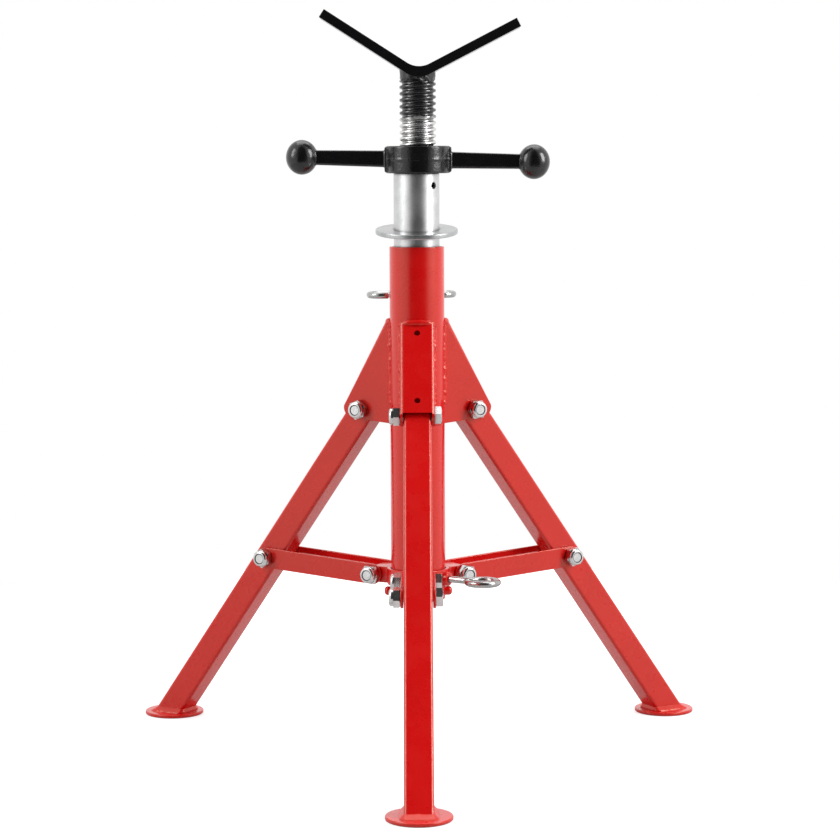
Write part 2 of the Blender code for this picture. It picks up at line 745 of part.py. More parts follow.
# Legs, brackets, braces and their bolts
for number, azimuth in enumerate(leg_azimuths_deg, 1):
    nut_side = nut_sides[number - 1]
    head_side = -nut_side
    around = about_z(azimuth)
    suffix = "_%d" % number

    # Bracket, a folded channel whose sloping web faces outwards
    web_foot = Vector((bracket_corner_radius, bracket_corner_height))
    web_head = Vector((bracket_top_radius, bracket_top))
    slope = (web_head - web_foot).normalized()
    web_normal = Vector((slope.y, -slope.x))
    outline = [(inner_bore, bracket_top), tuple(web_head), tuple(web_foot)]
    edge_centre = bracket_corner_radius - bracket_edge_radius
    edge_sweep = -math.pi * bracket_edge_share
    outline += rounds(edge_centre, bracket_edge_height, bracket_edge_radius, corner_steps, 0.0, edge_sweep)
    outline.append((inner_bore, bracket_bottom))
    bracket = plate("leg_bracket" + suffix, outline, -bracket_outer_face, bracket_outer_face, red, around)
    inner_foot = web_foot - web_normal * bracket_sheet
    web_end = inner_foot + slope * (bracket_web_bottom - inner_foot.y) / slope.y
    web_start = inner_foot + slope * (bracket_top + cut_margin - inner_foot.y) / slope.y
    hollow_outline = [
        (0, bracket_top + cut_margin),
        tuple(web_start),
        tuple(web_end),
        (bracket_corner_radius + cut_margin, bracket_web_bottom),
        (bracket_corner_radius + cut_margin, bracket_bottom - cut_margin),
        (0, bracket_bottom - cut_margin),
    ]
    hollow = plate(
        "bracket_hollow" + suffix, hollow_outline, -bracket_inner_face, bracket_inner_face, None, around, True
    )
    cut(bracket, hollow)
    post_clear = turned(
        "bracket_post_clear" + suffix,
        [
            (0, bracket_bottom - cut_margin),
            (post_radius + fit_gap, bracket_bottom - cut_margin),
            (post_radius + fit_gap, bracket_top + cut_margin),
            (0, bracket_top + cut_margin),
        ],
        tube_steps,
        None,
        upright,
        True,
    )
    cut(bracket, post_clear)
    hinge_hole = bar_along_y(
        "hinge_hole" + suffix,
        leg_hinge_radius,
        leg_hinge_height,
        bolt_radius + fit_gap,
        -bracket_outer_face - cut_margin,
        bracket_outer_face + cut_margin,
        bolt_steps,
        None,
        around,
        True,
    )
    cut(bracket, hinge_hole)
    web_length = (web_head - web_foot).length
    for label, along in (("lower", bracket_hole_low_inset), ("upper", web_length - bracket_hole_high_inset)):
        centre = web_foot + slope * along
        hole_place = around @ Matrix.Translation((centre.x, 0, centre.y))
        hole_place = hole_place @ Matrix.Rotation(math.atan2(web_normal.x, web_normal.y), 4, "Y")
        hole = turned(
            "bracket_hole_%s%s" % (label, suffix),
            [
                (0, -cut_margin / 2),
                (bracket_hole_radius, -cut_margin / 2),
                (bracket_hole_radius, cut_margin / 2),
                (0, cut_margin / 2),
            ],
            bolt_steps,
            None,
            hole_place,
            True,
        )
        cut(bracket, hole)

    # Hinge bolt and nut
    bolt_end = bracket_outer_face + nut_height - nut_bolt_end
    hinge_x = leg_hinge_radius
    hinge_z = leg_hinge_height
    hinge_face = bracket_outer_face
    bolt_head("hinge_bolt" + suffix, hinge_x, hinge_z, head_side, hinge_face, -bolt_end, bright, around)
    bore = bolt_radius + fit_gap
    lock_nut("hinge_nut" + suffix, hinge_x, hinge_z, nut_side, hinge_face, bore, bright, around)

    # Leg, a square tube cut level at the foot
    hinge_point = Vector((leg_hinge_radius, leg_hinge_height))

    def foot_run(side_offset, level):
        return (leg_hinge_height + side_offset * leg_side.y - level) / -leg_down.y

    def on_leg(run, side_offset):
        point = hinge_point + leg_down * run + leg_side * side_offset
        return (point.x, point.y)

    outline = [
        on_leg(-leg_head_length, -leg_half),
        on_leg(-leg_head_length, leg_half),
        on_leg(foot_run(leg_half, foot_thickness), leg_half),
        on_leg(foot_run(-leg_half, foot_thickness), -leg_half),
    ]
    leg = plate("leg_tube" + suffix, outline, -leg_half, leg_half, red, around)
    inner_half = leg_half - leg_wall
    outline = [
        on_leg(-leg_head_length - cut_margin, -inner_half),
        on_leg(-leg_head_length - cut_margin, inner_half),
        on_leg(foot_run(inner_half, -cut_margin), inner_half),
        on_leg(foot_run(-inner_half, -cut_margin), -inner_half),
    ]
    leg_hollow = plate("leg_hollow" + suffix, outline, -inner_half, inner_half, None, around, True)
    cut(leg, leg_hollow)
    for label, x, z, radius in (
        ("hinge", hinge_x, hinge_z, bolt_radius + bolt_bore_clearance),
        ("brace", leg_pivot.x, leg_pivot.y, bolt_radius + fit_gap),
    ):
        hole = bar_along_y(
            "leg_%s_hole%s" % (label, suffix),
            x,
            z,
            radius,
            -leg_half - cut_margin,
            leg_half + cut_margin,
            bolt_steps,
            None,
            around,
            True,
        )
        cut(leg, hole)
    foot_place = around @ Matrix.Translation((leg_foot_radius, 0, 0))
    foot_edge = foot_thickness / 5
    foot_profile = [
        (0, 0),
        (foot_radius - foot_edge, 0),
        (foot_radius, foot_edge),
        (foot_radius, foot_thickness - foot_edge),
        (foot_radius - foot_edge, foot_thickness),
        (0, foot_thickness),
    ]
    turned("foot_plate" + suffix, foot_profile, tube_steps, red, foot_place)

    # Brace bars, with the bolt that holds them on the collar and the two ends of the bolt at the leg
    start = Vector((lug_pivot_radius, lug_pivot_height))
    run = leg_pivot - start
    tilt = math.atan2(run.y, run.x)
    half = brace_height / 2
    outline = rounds(start.x, start.y, half, corner_steps * 2, tilt + math.pi / 2, math.pi)
    outline += rounds(leg_pivot.x, leg_pivot.y, half, corner_steps * 2, tilt - math.pi / 2, math.pi)
    for label, side in (("a", nut_side), ("b", head_side)):
        near, far = sorted((side * brace_inner_face, side * brace_outer_face))
        bar = plate("brace_bar%s_%s" % (suffix, label), outline, near, far, red, around)
        for end, point in (("inner", start), ("outer", leg_pivot)):
            hole = bar_along_y(
                "brace_hole_%s_%s%s" % (end, label, suffix),
                point.x,
                point.y,
                bolt_radius + fit_gap,
                near - cut_margin,
                far + cut_margin,
                bolt_steps,
                None,
                around,
                True,
            )
            cut(bar, hole)
    bolt_end = brace_outer_face + nut_height - nut_bolt_end
    face = brace_outer_face
    bolt_head("brace_bolt" + suffix, start.x, start.y, head_side, face, -bolt_end, bright, around)
    lock_nut("brace_nut" + suffix, start.x, start.y, nut_side, face, bore, bright, around)
    x, z = leg_pivot
    bolt_head("leg_bolt_head" + suffix, x, z, head_side, face, brace_inner_face, bright, around)
    end_nut = lock_nut("leg_bolt_nut" + suffix, x, z, nut_side, face, 0, bright, around)
    near, far = sorted((nut_side * brace_inner_face, nut_side * (face + nut_hex_height / 2)))
    stub_name = "leg_bolt_stub" + suffix
    stub = bar_along_y(stub_name, x, z, bolt_radius, near, far, bolt_steps, None, around, True)
    join(end_nut, stub)
    shank_name = "leg_bolt_shank" + suffix
    bar_along_y(shank_name, x, z, bolt_radius, -leg_half, leg_half, bolt_steps, bright, around)

    # Lug on the collar
    lug_half = brace_inner_face - lug_side_clearance
    outline = [(post_radius, lug_pivot_height - lug_end_radius), (start.x, lug_pivot_height - lug_end_radius)]
    outline += rounds(start.x, start.y, lug_end_radius, corner_steps * 2, -math.pi / 2, math.pi)[1:]
    outline.append((post_radius, lug_pivot_height + lug_end_radius))
    lug = plate("collar_lug" + suffix, outline, -lug_half, lug_half, red, around)
    cut(lug, collar_shell)
    lug_hole = bar_along_y(
        "lug_hole" + suffix,
        start.x,
        start.y,
        bolt_radius + bolt_bore_clearance,
        -lug_half - cut_margin,
        lug_half + cut_margin,
        bolt_steps,
        None,
        around,
        True,
    )
    cut(lug, lug_hole)
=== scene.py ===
# %% [markdown]
# # Folding pipe jack stand
# A pipe jack stand holds up one end of a pipe while it is cut or welded. It has a round post on three
# folding legs, an inner tube that ring pins hold at a chosen height, and a screw with a V head that a
# ball-ended handle raises.
#
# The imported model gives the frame: where each piece sits and how it moves. This lesson dresses it. Each
# piece of the model is stood for by a finer one, with rolled edges, folded sheet, rough castings, threads
# and weld beads.

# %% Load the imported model
import math

import bmesh
import bpy
from mathutils import Matrix, Vector, noise


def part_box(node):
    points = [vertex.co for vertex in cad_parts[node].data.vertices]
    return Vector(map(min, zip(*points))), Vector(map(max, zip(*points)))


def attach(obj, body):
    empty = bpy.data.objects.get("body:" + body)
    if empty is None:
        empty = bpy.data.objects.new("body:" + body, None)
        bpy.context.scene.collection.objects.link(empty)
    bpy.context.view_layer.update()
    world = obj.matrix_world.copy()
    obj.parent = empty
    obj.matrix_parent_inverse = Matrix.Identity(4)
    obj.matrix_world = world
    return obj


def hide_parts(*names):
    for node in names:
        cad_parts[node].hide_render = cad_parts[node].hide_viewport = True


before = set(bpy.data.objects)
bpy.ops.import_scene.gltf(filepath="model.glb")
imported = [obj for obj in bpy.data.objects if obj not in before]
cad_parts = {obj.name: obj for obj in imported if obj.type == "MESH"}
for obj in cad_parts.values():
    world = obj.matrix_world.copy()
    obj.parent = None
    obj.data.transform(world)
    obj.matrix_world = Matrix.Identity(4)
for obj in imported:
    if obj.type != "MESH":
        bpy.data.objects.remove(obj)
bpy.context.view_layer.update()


# %% [markdown]
# ## Reading sizes
# Everything is in metres. The floor is z = 0, the post stands on the Z axis, and leg 1 points to -Y, at the
# camera. A size could be typed again here, but a piece that reads it from the model can't drift away from
# the model. So most heights and radii below come from the box of the node that the piece stands for.

# %% Read one side of a node's box
def span(node, axis):
    low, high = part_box(node)
    return low[axis], high[axis]


def half_span(node, axis):
    low, high = span(node, axis)
    return (high - low) / 2


def mm(length):
    return round(length * 1000, 1)


post_radius = span("main_tube", 0)[1]
post_bottom, post_top = span("main_tube", 2)
print("post", mm(post_radius * 2), "mm across,", mm(post_top - post_bottom), "mm long")


# %% [markdown]
# ## Materials from nodes
# Powder coat, zinc plate and cast iron could be painted as pictures, but a picture blurs when the camera
# comes close and needs unwrapping. Here they are built from noise in object coordinates, so the grain has a
# real size in millimetres and stays on the piece when it moves. A few small helpers keep each recipe short.

# %% Add a node
def add_node(tree, kind, **settings):
    node = tree.nodes.new(kind)
    for name, value in settings.items():
        setattr(node, name, value)
    return node


# %% Wire a texture to a socket, or set a colour or number on it
def feed(tree, value, socket):
    if hasattr(value, "links"):
        tree.links.new(value, socket)
    elif isinstance(value, tuple):
        socket.default_value = (*value, 1.0)
    elif value is not None:
        socket.default_value = value


# %% Clouds of a given size in metres
def cloud(tree, size, detail=3.0, stretch=None):
    place = add_node(tree, "ShaderNodeTexCoord").outputs["Object"]
    if stretch:
        mapping = add_node(tree, "ShaderNodeMapping")
        mapping.inputs["Scale"].default_value = stretch
        feed(tree, place, mapping.inputs["Vector"])
        place = mapping.outputs["Vector"]
    found = add_node(tree, "ShaderNodeTexNoise")
    for name, value in (("Scale", 1.0 / size), ("Detail", detail), ("Vector", place)):
        feed(tree, value, found.inputs[name])
    return found.outputs["Fac"]


# %% Fade from one number to another
def fade(tree, source, low, high, first=0.0, last=1.0):
    node = add_node(tree, "ShaderNodeMapRange", interpolation_type="SMOOTHSTEP")
    named = {"Value": source, "From Min": low, "From Max": high, "To Min": first, "To Max": last}
    for name, value in named.items():
        feed(tree, value, node.inputs[name])
    return node.outputs["Result"]


# %% Blend two colours
def blend(tree, share, first, last):
    node = add_node(tree, "ShaderNodeMix", data_type="RGBA")
    for index, value in ((0, share), (6, first), (7, last)):
        feed(tree, value, node.inputs[index])
    return node.outputs[2]


# %% Do a sum on one or two values
def sum_node(tree, operation, *values):
    node = add_node(tree, "ShaderNodeMath", operation=operation)
    for value, socket in zip(values, node.inputs):
        feed(tree, value, socket)
    return node.outputs[0]


# %% Split a place into its three numbers
def place_parts(tree, kind):
    node = add_node(tree, "ShaderNodeSeparateXYZ")
    feed(tree, add_node(tree, "ShaderNodeTexCoord").outputs[kind], node.inputs[0])
    return node.outputs


# %% Raise a fine relief
def relief(tree, *layers):
    # Each layer is a texture, its depth in metres and its strength.
    normal = None
    for source, depth, strength in layers:
        node = add_node(tree, "ShaderNodeBump")
        for name, value in (("Distance", depth), ("Strength", strength), ("Height", source), ("Normal", normal)):
            feed(tree, value, node.inputs[name])
        normal = node.outputs["Normal"]
    return normal


# %% Find the tight corners, where painted shade goes
def painted_corner_shade(tree, size, low, high):
    node = add_node(tree, "ShaderNodeAmbientOcclusion", samples=8)
    node.inputs["Distance"].default_value = size
    return fade(tree, node.outputs["AO"], low, high)


# %% Darken a colour
def shade(colour, share):
    return tuple(channel * share for channel in colour)


# %% Mix a material from a recipe
def mixed(name, recipe, *amounts):
    # A recipe lays out its nodes and gives back a value or a texture for each socket of the surface.
    material = bpy.data.materials.new(name)
    material.use_nodes = True
    surface = material.node_tree.nodes["Principled BSDF"]
    for socket, value in recipe(material.node_tree, *amounts).items():
        feed(material.node_tree, value, surface.inputs[socket])
    print("mixed", name)
    return material


# %% [markdown]
# ## Red powder coat
# The frame is powder coated: a thick, glossy red skin with a faint orange peel. A plain glossy colour would
# look like plastic, so the red drifts a little over a hand's width, has painted shade that darkens it in
# tight corners, and has a peel 3 mm wide that only shows as a slight wobble in the reflections. A thin clear
# coat gives the sharp part of the shine.

# %% Mix the powder coat
warm_shine = (1.0, 0.95, 0.68)


def powder_coat(tree):
    drift = fade(tree, cloud(tree, 0.09), 0.35, 0.65)
    paint = blend(tree, drift, (0.625, 0.0008, 0.0022), (0.665, 0.0012, 0.0028))
    # Painted shade: the red is painted darker in tight corners.
    corners = painted_corner_shade(tree, 0.005, 0.10, 0.65)
    return {
        "Base Color": blend(tree, corners, (0.38, 0.0008, 0.0012), paint),
        "Roughness": fade(tree, cloud(tree, 0.02), 0.3, 0.7, 0.25, 0.32),
        "Specular Tint": warm_shine,
        "Coat Weight": 0.40,
        "Coat Roughness": 0.06,
        "Normal": relief(tree, (cloud(tree, 0.0028, 2.0), 0.00004, 0.14)),
    }


red = mixed("red_powder_coat_gloss", powder_coat)


# %% [markdown]
# ## Painted weld
# A weld bead is rough iron under the same paint as the sheet beside it. The paint is thinner on the crests,
# so the colour varies over a few millimetres, and the surface is lumpier than the sheet.

# %% Mix paint over a weld
def painted_weld(tree, low, high, shine, tint):
    return {
        "Base Color": blend(tree, cloud(tree, 0.004), low, high),
        "Roughness": shine,
        "Specular Tint": tint,
        "Coat Weight": 0.2,
        "Coat Roughness": 0.12,
        "Normal": relief(tree, (cloud(tree, 0.0026, 2.0), 0.0005, 0.35)),
    }


white, charcoal, soot = (1.0, 1.0, 1.0), (0.010, 0.010, 0.010), (0.004, 0.004, 0.004)
red_weld = mixed("red_weld", painted_weld, (0.58, 0.001, 0.002), (0.70, 0.003, 0.004), 0.30, warm_shine)
black_weld = mixed("black_weld", painted_weld, soot, charcoal, 0.36, white)


# %% [markdown]
# ## Black gloss paint
# The V head is smooth bar and the handle is cast iron, both in black gloss. One recipe serves both. What
# differs is the grain: the bar has almost none, and the casting keeps the sand's bumps, which break its
# highlights into sparkles.

# %% Mix the black gloss
def black_gloss(tree, grain, depth, shine):
    return {
        "Base Color": blend(tree, cloud(tree, 0.03), (0.0022, 0.0020, 0.0026), (0.0042, 0.0038, 0.0046)),
        "Roughness": fade(tree, cloud(tree, 0.01), 0.3, 0.7, shine, shine + 0.08),
        "Coat Weight": 0.25,
        "Coat Roughness": 0.08,
        "Normal": relief(tree, (cloud(tree, grain * 3, 1.0), depth * 2, 0.40), (cloud(tree, grain), depth, 0.70)),
    }


black_bar = mixed("black_gloss_bar", black_gloss, 0.0018, 0.00002, 0.16)
black_cast = mixed("black_gloss_casting", black_gloss, 0.0024, 0.00030, 0.20)


# %% [markdown]
# ## Zinc plate
# The inner tube, washer, pins and bolts are zinc plated. Plating is metal all through, so its look is
# nearly all reflection. A fine cloud for the grain and a broad one for the milky patches are added together
# to give the tone. The broad one also makes the reflection sharper in some places than in others.

# %% Mix the zinc plate
def zinc_plate(tree, dark, light, shine):
    fine, patches = cloud(tree, 0.0011), cloud(tree, 0.016)
    tone = fade(tree, sum_node(tree, "ADD", fine, patches), 0.65, 1.35)
    # Painted shade: the plating is painted darker in tight corners.
    corners = painted_corner_shade(tree, 0.005, 0.30, 0.90)
    return {
        "Base Color": blend(tree, corners, shade(dark, 0.30), blend(tree, tone, dark, light)),
        "Metallic": 1.0,
        "Roughness": fade(tree, patches, 0.3, 0.7, shine, shine + 0.05),
        "Normal": relief(tree, (fine, 0.00008, 0.40)),
    }


zinc = mixed("satin_zinc_tube", zinc_plate, (0.56, 0.562, 0.565), (0.72, 0.722, 0.725), 0.34)
zinc_washer = mixed("satin_zinc_washer", zinc_plate, (0.40, 0.405, 0.41), (0.55, 0.555, 0.56), 0.27)
bright = mixed("bright_zinc", zinc_plate, (0.60, 0.596, 0.590), (0.82, 0.815, 0.808), 0.14)
pin_zinc = mixed("bright_zinc_pin", zinc_plate, (0.36, 0.358, 0.355), (0.58, 0.577, 0.572), 0.20)


# %% [markdown]
# ## Half-painted screw
# The V head was sprayed black after it was welded on, and the spray faded out down the screw. So the screw
# is one steel piece with a soft, ragged border: above it the surface is paint, below it turned metal. The
# border is found from the height, pushed up and down by a cloud so that it isn't a ruled line.

# %% Find the edge of the overspray
def overspray(tree, low, high, raggedness):
    height = place_parts(tree, "Object")["Z"]
    wander = sum_node(tree, "MULTIPLY", cloud(tree, 0.012, 4.0), raggedness)
    return fade(tree, sum_node(tree, "ADD", height, wander), low, high)


# %% Mix the screw's steel and paint
def screw_finish(tree):
    sprayed = overspray(tree, 0.698, 0.706, 0.020)
    lines = cloud(tree, 0.0012, 3.0, (0.15, 0.15, 1.0))
    metal = blend(tree, lines, (0.58, 0.575, 0.57), (0.82, 0.815, 0.81))
    # Painted shade: the bare steel is painted darker in the hollows of the thread.
    metal = blend(tree, painted_corner_shade(tree, 0.004, 0.35, 0.95), (0.06, 0.057, 0.055), metal)
    return {
        "Base Color": blend(tree, sprayed, metal, (0.010, 0.010, 0.0115)),
        "Metallic": fade(tree, sprayed, 0.0, 1.0, 1.0, 0.0),
        "Roughness": fade(tree, sprayed, 0.0, 1.0, 0.27, 0.20),
        "Specular IOR Level": 0.90,
        "Normal": relief(tree, (lines, 0.00006, 0.3)),
    }


screw_steel = mixed("screw_steel_oversprayed", screw_finish)


# %% [markdown]
# ## Nylon ring
# A lock nut grips its bolt with a ring of grey nylon. It is the one dull finish here, so it gets a plain
# matt recipe.

# %% Mix the nylon
def matt_nylon(tree):
    grey = (0.15, 0.155, 0.175)
    return {
        "Base Color": blend(tree, cloud(tree, 0.003), shade(grey, 0.7), grey),
        "Roughness": 0.45,
        "Normal": relief(tree, (cloud(tree, 0.001, 2.0), 0.00005, 0.3)),
    }


nylon = mixed("grey_nylon_ring", matt_nylon)
print("materials", len(bpy.data.materials))


# %% [markdown]
# ## Building in mesh code
# Every piece of the stand is turned on an axis, cut from plate, or drawn along a path, so three makers
# cover nearly all of it. They could start from stock shapes, but writing the rings and outlines out gives
# the real profile, with its own rolled edge, in one go. The mesh is moved into place, and the object stays
# at the origin.

# %% Turn a piece's own frame into the stand's
def move(x, y, z):
    return Matrix.Translation((x, y, z))


def rotate(axis, degrees):
    return Matrix.Rotation(math.radians(degrees), 4, axis)


def about_z(azimuth):
    # X points outwards at the azimuth, Y runs along the tangent, and Z is up.
    return rotate("Z", azimuth - 90.0)


def pointing_out(azimuth, height):
    # Z points outwards at the azimuth.
    return move(0, 0, height) @ about_z(azimuth) @ rotate("Y", 90.0)


flat_on_floor = Matrix.Identity(4)
print("leg 1 points to", [round(v, 2) for v in about_z(0.0) @ Vector((1, 0, 0))])


# %% Turn raw geometry into an object
def raw(name, shape, place):
    bmesh.ops.recalc_face_normals(shape, faces=shape.faces[:])
    mesh = bpy.data.meshes.new(name)
    shape.to_mesh(mesh)
    shape.free()
    mesh.transform(place)
    made = bpy.data.objects.new(name, mesh)
    bpy.context.scene.collection.objects.link(made)
    return made


# %% Stretch faces between two rings
def strip(shape, low, high):
    count = max(len(low), len(high))
    for index in range(count):
        after = (index + 1) % count
        corners = [low[index % len(low)], low[after % len(low)], high[after % len(high)], high[index % len(high)]]
        unique = list(dict.fromkeys(corners))
        if len(unique) > 2:
            shape.faces.new(unique)


# %% Skin a row of rings
def skinned(name, rings, place, closed=False):
    # A ring of one point is a tip. An open end that isn't a tip gets a cap.
    shape = bmesh.new()
    rows = [[shape.verts.new(point) for point in ring] for ring in rings]
    for low, high in zip(rows, rows[1:] + (rows[:1] if closed else [])):
        strip(shape, low, high)
    for cap in () if closed else (rows[0], rows[-1][::-1]):
        if len(cap) > 1:
            shape.faces.new(cap)
    return raw(name, shape, place)


# %% Points on an arc
def arc(x, z, radius, steps, start=0.0, sweep=2 * math.pi):
    count = steps if sweep >= 2 * math.pi else steps + 1
    angles = [start + sweep * step / steps for step in range(count)]
    return [(x + radius * math.cos(angle), z + radius * math.sin(angle)) for angle in angles]


# %% Turn a profile of (radius, height) points
def turned(name, profile, steps=96, place=flat_on_floor, closed=False, warp=None):
    rings = []
    for radius, height in profile:
        ring = [Vector((radius * x, radius * y, height)) for x, y in arc(0, 0, 1.0, steps if radius else 1)]
        rings.append([warp(point) for point in ring] if warp and radius else ring)
    return skinned(name, rings, place, closed)


# %% Cut a plate to an outline of (x, z) points
def plate(name, outline, near, far, place, folds=(), fold_radius=0.0):
    # The folds are pairs of outline points. Their long edges are rounded, as bent sheet is.
    shape = bmesh.new()
    front = [shape.verts.new((x, near, z)) for x, z in outline]
    back = [shape.verts.new((x, far, z)) for x, z in outline]
    shape.faces.new(front)
    shape.faces.new(back[::-1])
    for index in range(len(outline)):
        after = (index + 1) % len(outline)
        shape.faces.new((front[index], back[index], back[after], front[after]))
    bent = []
    for row in (front, back):
        for first, last in folds:
            bent += [edge for edge in row[first].link_edges if edge.other_vert(row[first]) is row[last]]
    if bent:
        bmesh.ops.bevel(shape, geom=bent, offset=fold_radius, segments=5, profile=0.5, affect="EDGES")
    return raw(name, shape, place)


# %% The two directions across a path
def across_path(path, index):
    along = (path[min(index + 1, len(path) - 1)] - path[max(index - 1, 0)]).normalized()
    across = along.cross(Vector((0, 0, 1)))
    if across.length < 0.1:
        across = along.cross(Vector((0, 1, 0)))
    across.normalize()
    return along, across, across.cross(along)


# %% Draw a round section along a path
end_size, end_bulge = 0.72, 0.10


def swept(name, path, radius, steps, place, wobble=None):
    rings = []
    for index, point in enumerate(path):
        along, across, third = across_path(path, index)
        size = radius * (wobble(point, index) if wobble else 1.0)
        sections = ((end_size, 0.0), (1.0, end_bulge)) if index == 0 else ((1.0, 0.0),)
        if index == len(path) - 1:
            sections = ((1.0, -end_bulge), (end_size, 0.0))
        for scale, shift in sections:
            offsets = [(across * x + third * y) * size * scale for x, y in arc(0, 0, 1.0, steps)]
            rings.append([point + offset + along * size * shift for offset in offsets])
    return skinned(name, rings, place)


# %% [markdown]
# ## Cutting, joining and rolling edges
# Holes and joints could be left as modifiers, but a piece that is hidden or copied later would lose them.
# Each one is applied straight away, and its cutter is thrown out, so the mesh that is left is the finished
# piece.

# %% Apply what is on a piece
def apply_steps(piece):
    bpy.context.view_layer.update()
    graph = bpy.context.evaluated_depsgraph_get()
    mesh = bpy.data.meshes.new_from_object(piece.evaluated_get(graph))
    piece.modifiers.clear()
    old, piece.data = piece.data, mesh
    bpy.data.meshes.remove(old)
    return piece


# %% Cut, join or keep what overlaps
def combine(piece, operation, *others):
    for other in others:
        step = piece.modifiers.new(operation.lower(), "BOOLEAN")
        step.operation, step.solver, step.object = operation, "EXACT", other
    apply_steps(piece)
    for other in others:
        bpy.data.objects.remove(other, do_unlink=True)
    return piece


def cut(piece, *others):
    return combine(piece, "DIFFERENCE", *others)


def join(piece, *others):
    return combine(piece, "UNION", *others)


# %% Close the pinholes that a rolled corner leaves
speck = 0.00001


def merge_specks(piece):
    shape = bmesh.new()
    shape.from_mesh(piece.data)
    bmesh.ops.remove_doubles(shape, verts=shape.verts[:], dist=speck)
    bmesh.ops.dissolve_degenerate(shape, edges=shape.edges[:], dist=speck)
    gaps = [edge for edge in shape.edges if len(edge.link_faces) == 1]
    bmesh.ops.holes_fill(shape, edges=gaps, sides=0)
    shape.to_mesh(piece.data)
    shape.free()
    return piece


# %% Roll the sharp edges
def roll_edges(piece, width, segments=2, angle=35.0):
    step = piece.modifiers.new("rolled_edges", "BEVEL")
    step.width, step.segments = width, segments
    step.limit_method, step.angle_limit = "ANGLE", math.radians(angle)
    return merge_specks(apply_steps(piece))


# %% [markdown]
# ## Dressing a body
# A finished piece gets its paint and smooth shading, rides on a body of the model, and stands for one of
# its nodes. Flat faces beside a rolled edge would shade as if they bulged, so the shading is weighted by
# face area, which keeps sheet metal flat.

# %% Paint a piece and put it on its body
def dress(piece, paint, body, node=None, smooth=38.0, level=True):
    mesh = piece.data
    mesh.materials.clear()
    mesh.materials.append(paint)
    mesh.shade_smooth()
    mesh.set_sharp_from_angle(angle=math.radians(smooth))
    if level:
        piece.modifiers.new("level_faces", "WEIGHTED_NORMAL").keep_sharp = True
        apply_steps(piece)
    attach(piece, body)
    if node:
        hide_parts(node)


def dress_weld(piece, body, smooth=60.0):
    dress(piece, red_weld, body, smooth=smooth)


# %% [markdown]
# ## Profiles and drills
# Turned metal never has a knife edge. These profiles break every edge with a small quarter round, and the
# two drills make the cutters for holes.

# %% A ring and a disc with rolled edges
def quarters(corners, roll, steps):
    # Each corner is the middle of a quarter round and the quarter of the circle that it starts at.
    starts = [(x, z, quarter * math.pi / 2) for x, z, quarter in corners]
    return [point for x, z, start in starts for point in arc(x, z, roll, steps, start, math.pi / 2)]


def rolled_ring(bore, radius, low, high, roll):
    out, inside, bottom, top = radius - roll, bore + roll, low + roll, high - roll
    return quarters(((out, bottom, -1), (out, top, 0), (inside, top, 1), (inside, bottom, 2)), roll, 4)


def rolled_disc(radius, low, high, roll, steps=4):
    rim = quarters(((radius - roll, low + roll, -1), (radius - roll, high - roll, 0)), roll, steps)
    return [(0, low)] + rim + [(0, high)]


print("a rolled disc has", len(rolled_disc(0.03, 0, 0.004, 0.001)), "profile points")


# %% Drills, upright or pointing outwards
past = 0.010


def drill(radius, low, high, steps=96, place=flat_on_floor):
    return turned("drill", [(0, low), (radius, low), (radius, high), (0, high)], steps, place)


def side_drill(azimuth, height, radius, start, end):
    return drill(radius, start, end, 48, pointing_out(azimuth, height))


print("drills run", mm(past), "mm past each face")


# %% [markdown]
# ## Weld beads
# A bead is a row of overlapping puddles. It could be carved, but a round section drawn along the joint,
# whose radius swells and shrinks as it goes, looks the same and keeps a clean mesh. Noise at the bead's own
# place makes each one differ, and gives the same result on every run.

# %% The waver of a hand-laid bead
def ripple(point, index):
    return 1.0 + 0.06 * math.sin(index * 1.9) + 0.24 * noise.noise(point * 210.0)


def gentle(point, index):
    return 1.0 + 0.45 * (ripple(point, index) - 1.0)


def bead_path(start, end, spacing=0.0016):
    start, end = Vector(start), Vector(end)
    count = max(4, round((end - start).length / spacing))
    return [start.lerp(end, step / count) for step in range(count + 1)]


print("a 40 mm bead has", len(bead_path((0, 0, 0), (0.04, 0, 0))), "puddles")


# %% [markdown]
# ## Camera
# The photograph was measured: the post's sides, the feet, the nine bolts and the lines of the rear legs. A
# camera fitted to those points by least squares gives the distance, height, tilt and lens below, good to
# about a pixel. A camera placed by eye would never line the feet up with the V head.

# %% Place the photo's camera
photo_side, focal_pixels = 840, 2612.1
camera_place, camera_dip, camera_roll = (0.0027, -2.8621, 0.6578), 0.1028, 0.0047
lens = bpy.data.cameras.new("photo_camera")
lens.sensor_width, lens.clip_end = 36.0, 60.0
lens.lens = lens.sensor_width * focal_pixels / photo_side
camera = bpy.data.objects.new("photo_camera", lens)
bpy.context.scene.collection.objects.link(camera)
aim = Matrix.Rotation(math.pi / 2 - camera_dip, 4, "X") @ Matrix.Rotation(-camera_roll, 4, "Z")
camera.matrix_world = move(*camera_place) @ aim
bpy.context.scene.camera = camera
bpy.context.scene.view_settings.view_transform = "Standard"
print("lens", round(lens.lens, 1), "mm")


# %% [markdown]
# ## Soft light
# The post is bright down both sides and deep red in the middle, so it was lit by a large window at each
# side. Two tall softboxes do that, and a wide one overhead keeps the tops of the collar and feet light.

# %% Hang the softboxes
look_at = Vector((0, 0, 0.45))


def softbox(name, place, size, power):
    data = bpy.data.lights.new(name, "AREA")
    data.shape, data.energy = "RECTANGLE", power
    data.size, data.size_y = size
    box = bpy.data.objects.new(name, data)
    box.visible_camera = False
    bpy.context.scene.collection.objects.link(box)
    aim = (look_at - Vector(place)).to_track_quat("-Z", "Y").to_matrix().to_4x4()
    box.matrix_world = move(*place) @ aim


softbox("window_left", (-1.48, -0.50, 1.30), (0.5, 1.2), 11.0)
softbox("window_right", (1.53, -0.50, 1.25), (0.6, 1.2), 23.0)
softbox("overhead", (0.0, 0.6, 2.2), (1.6, 1.2), 12.0)
print("lamps", len(bpy.data.lights))


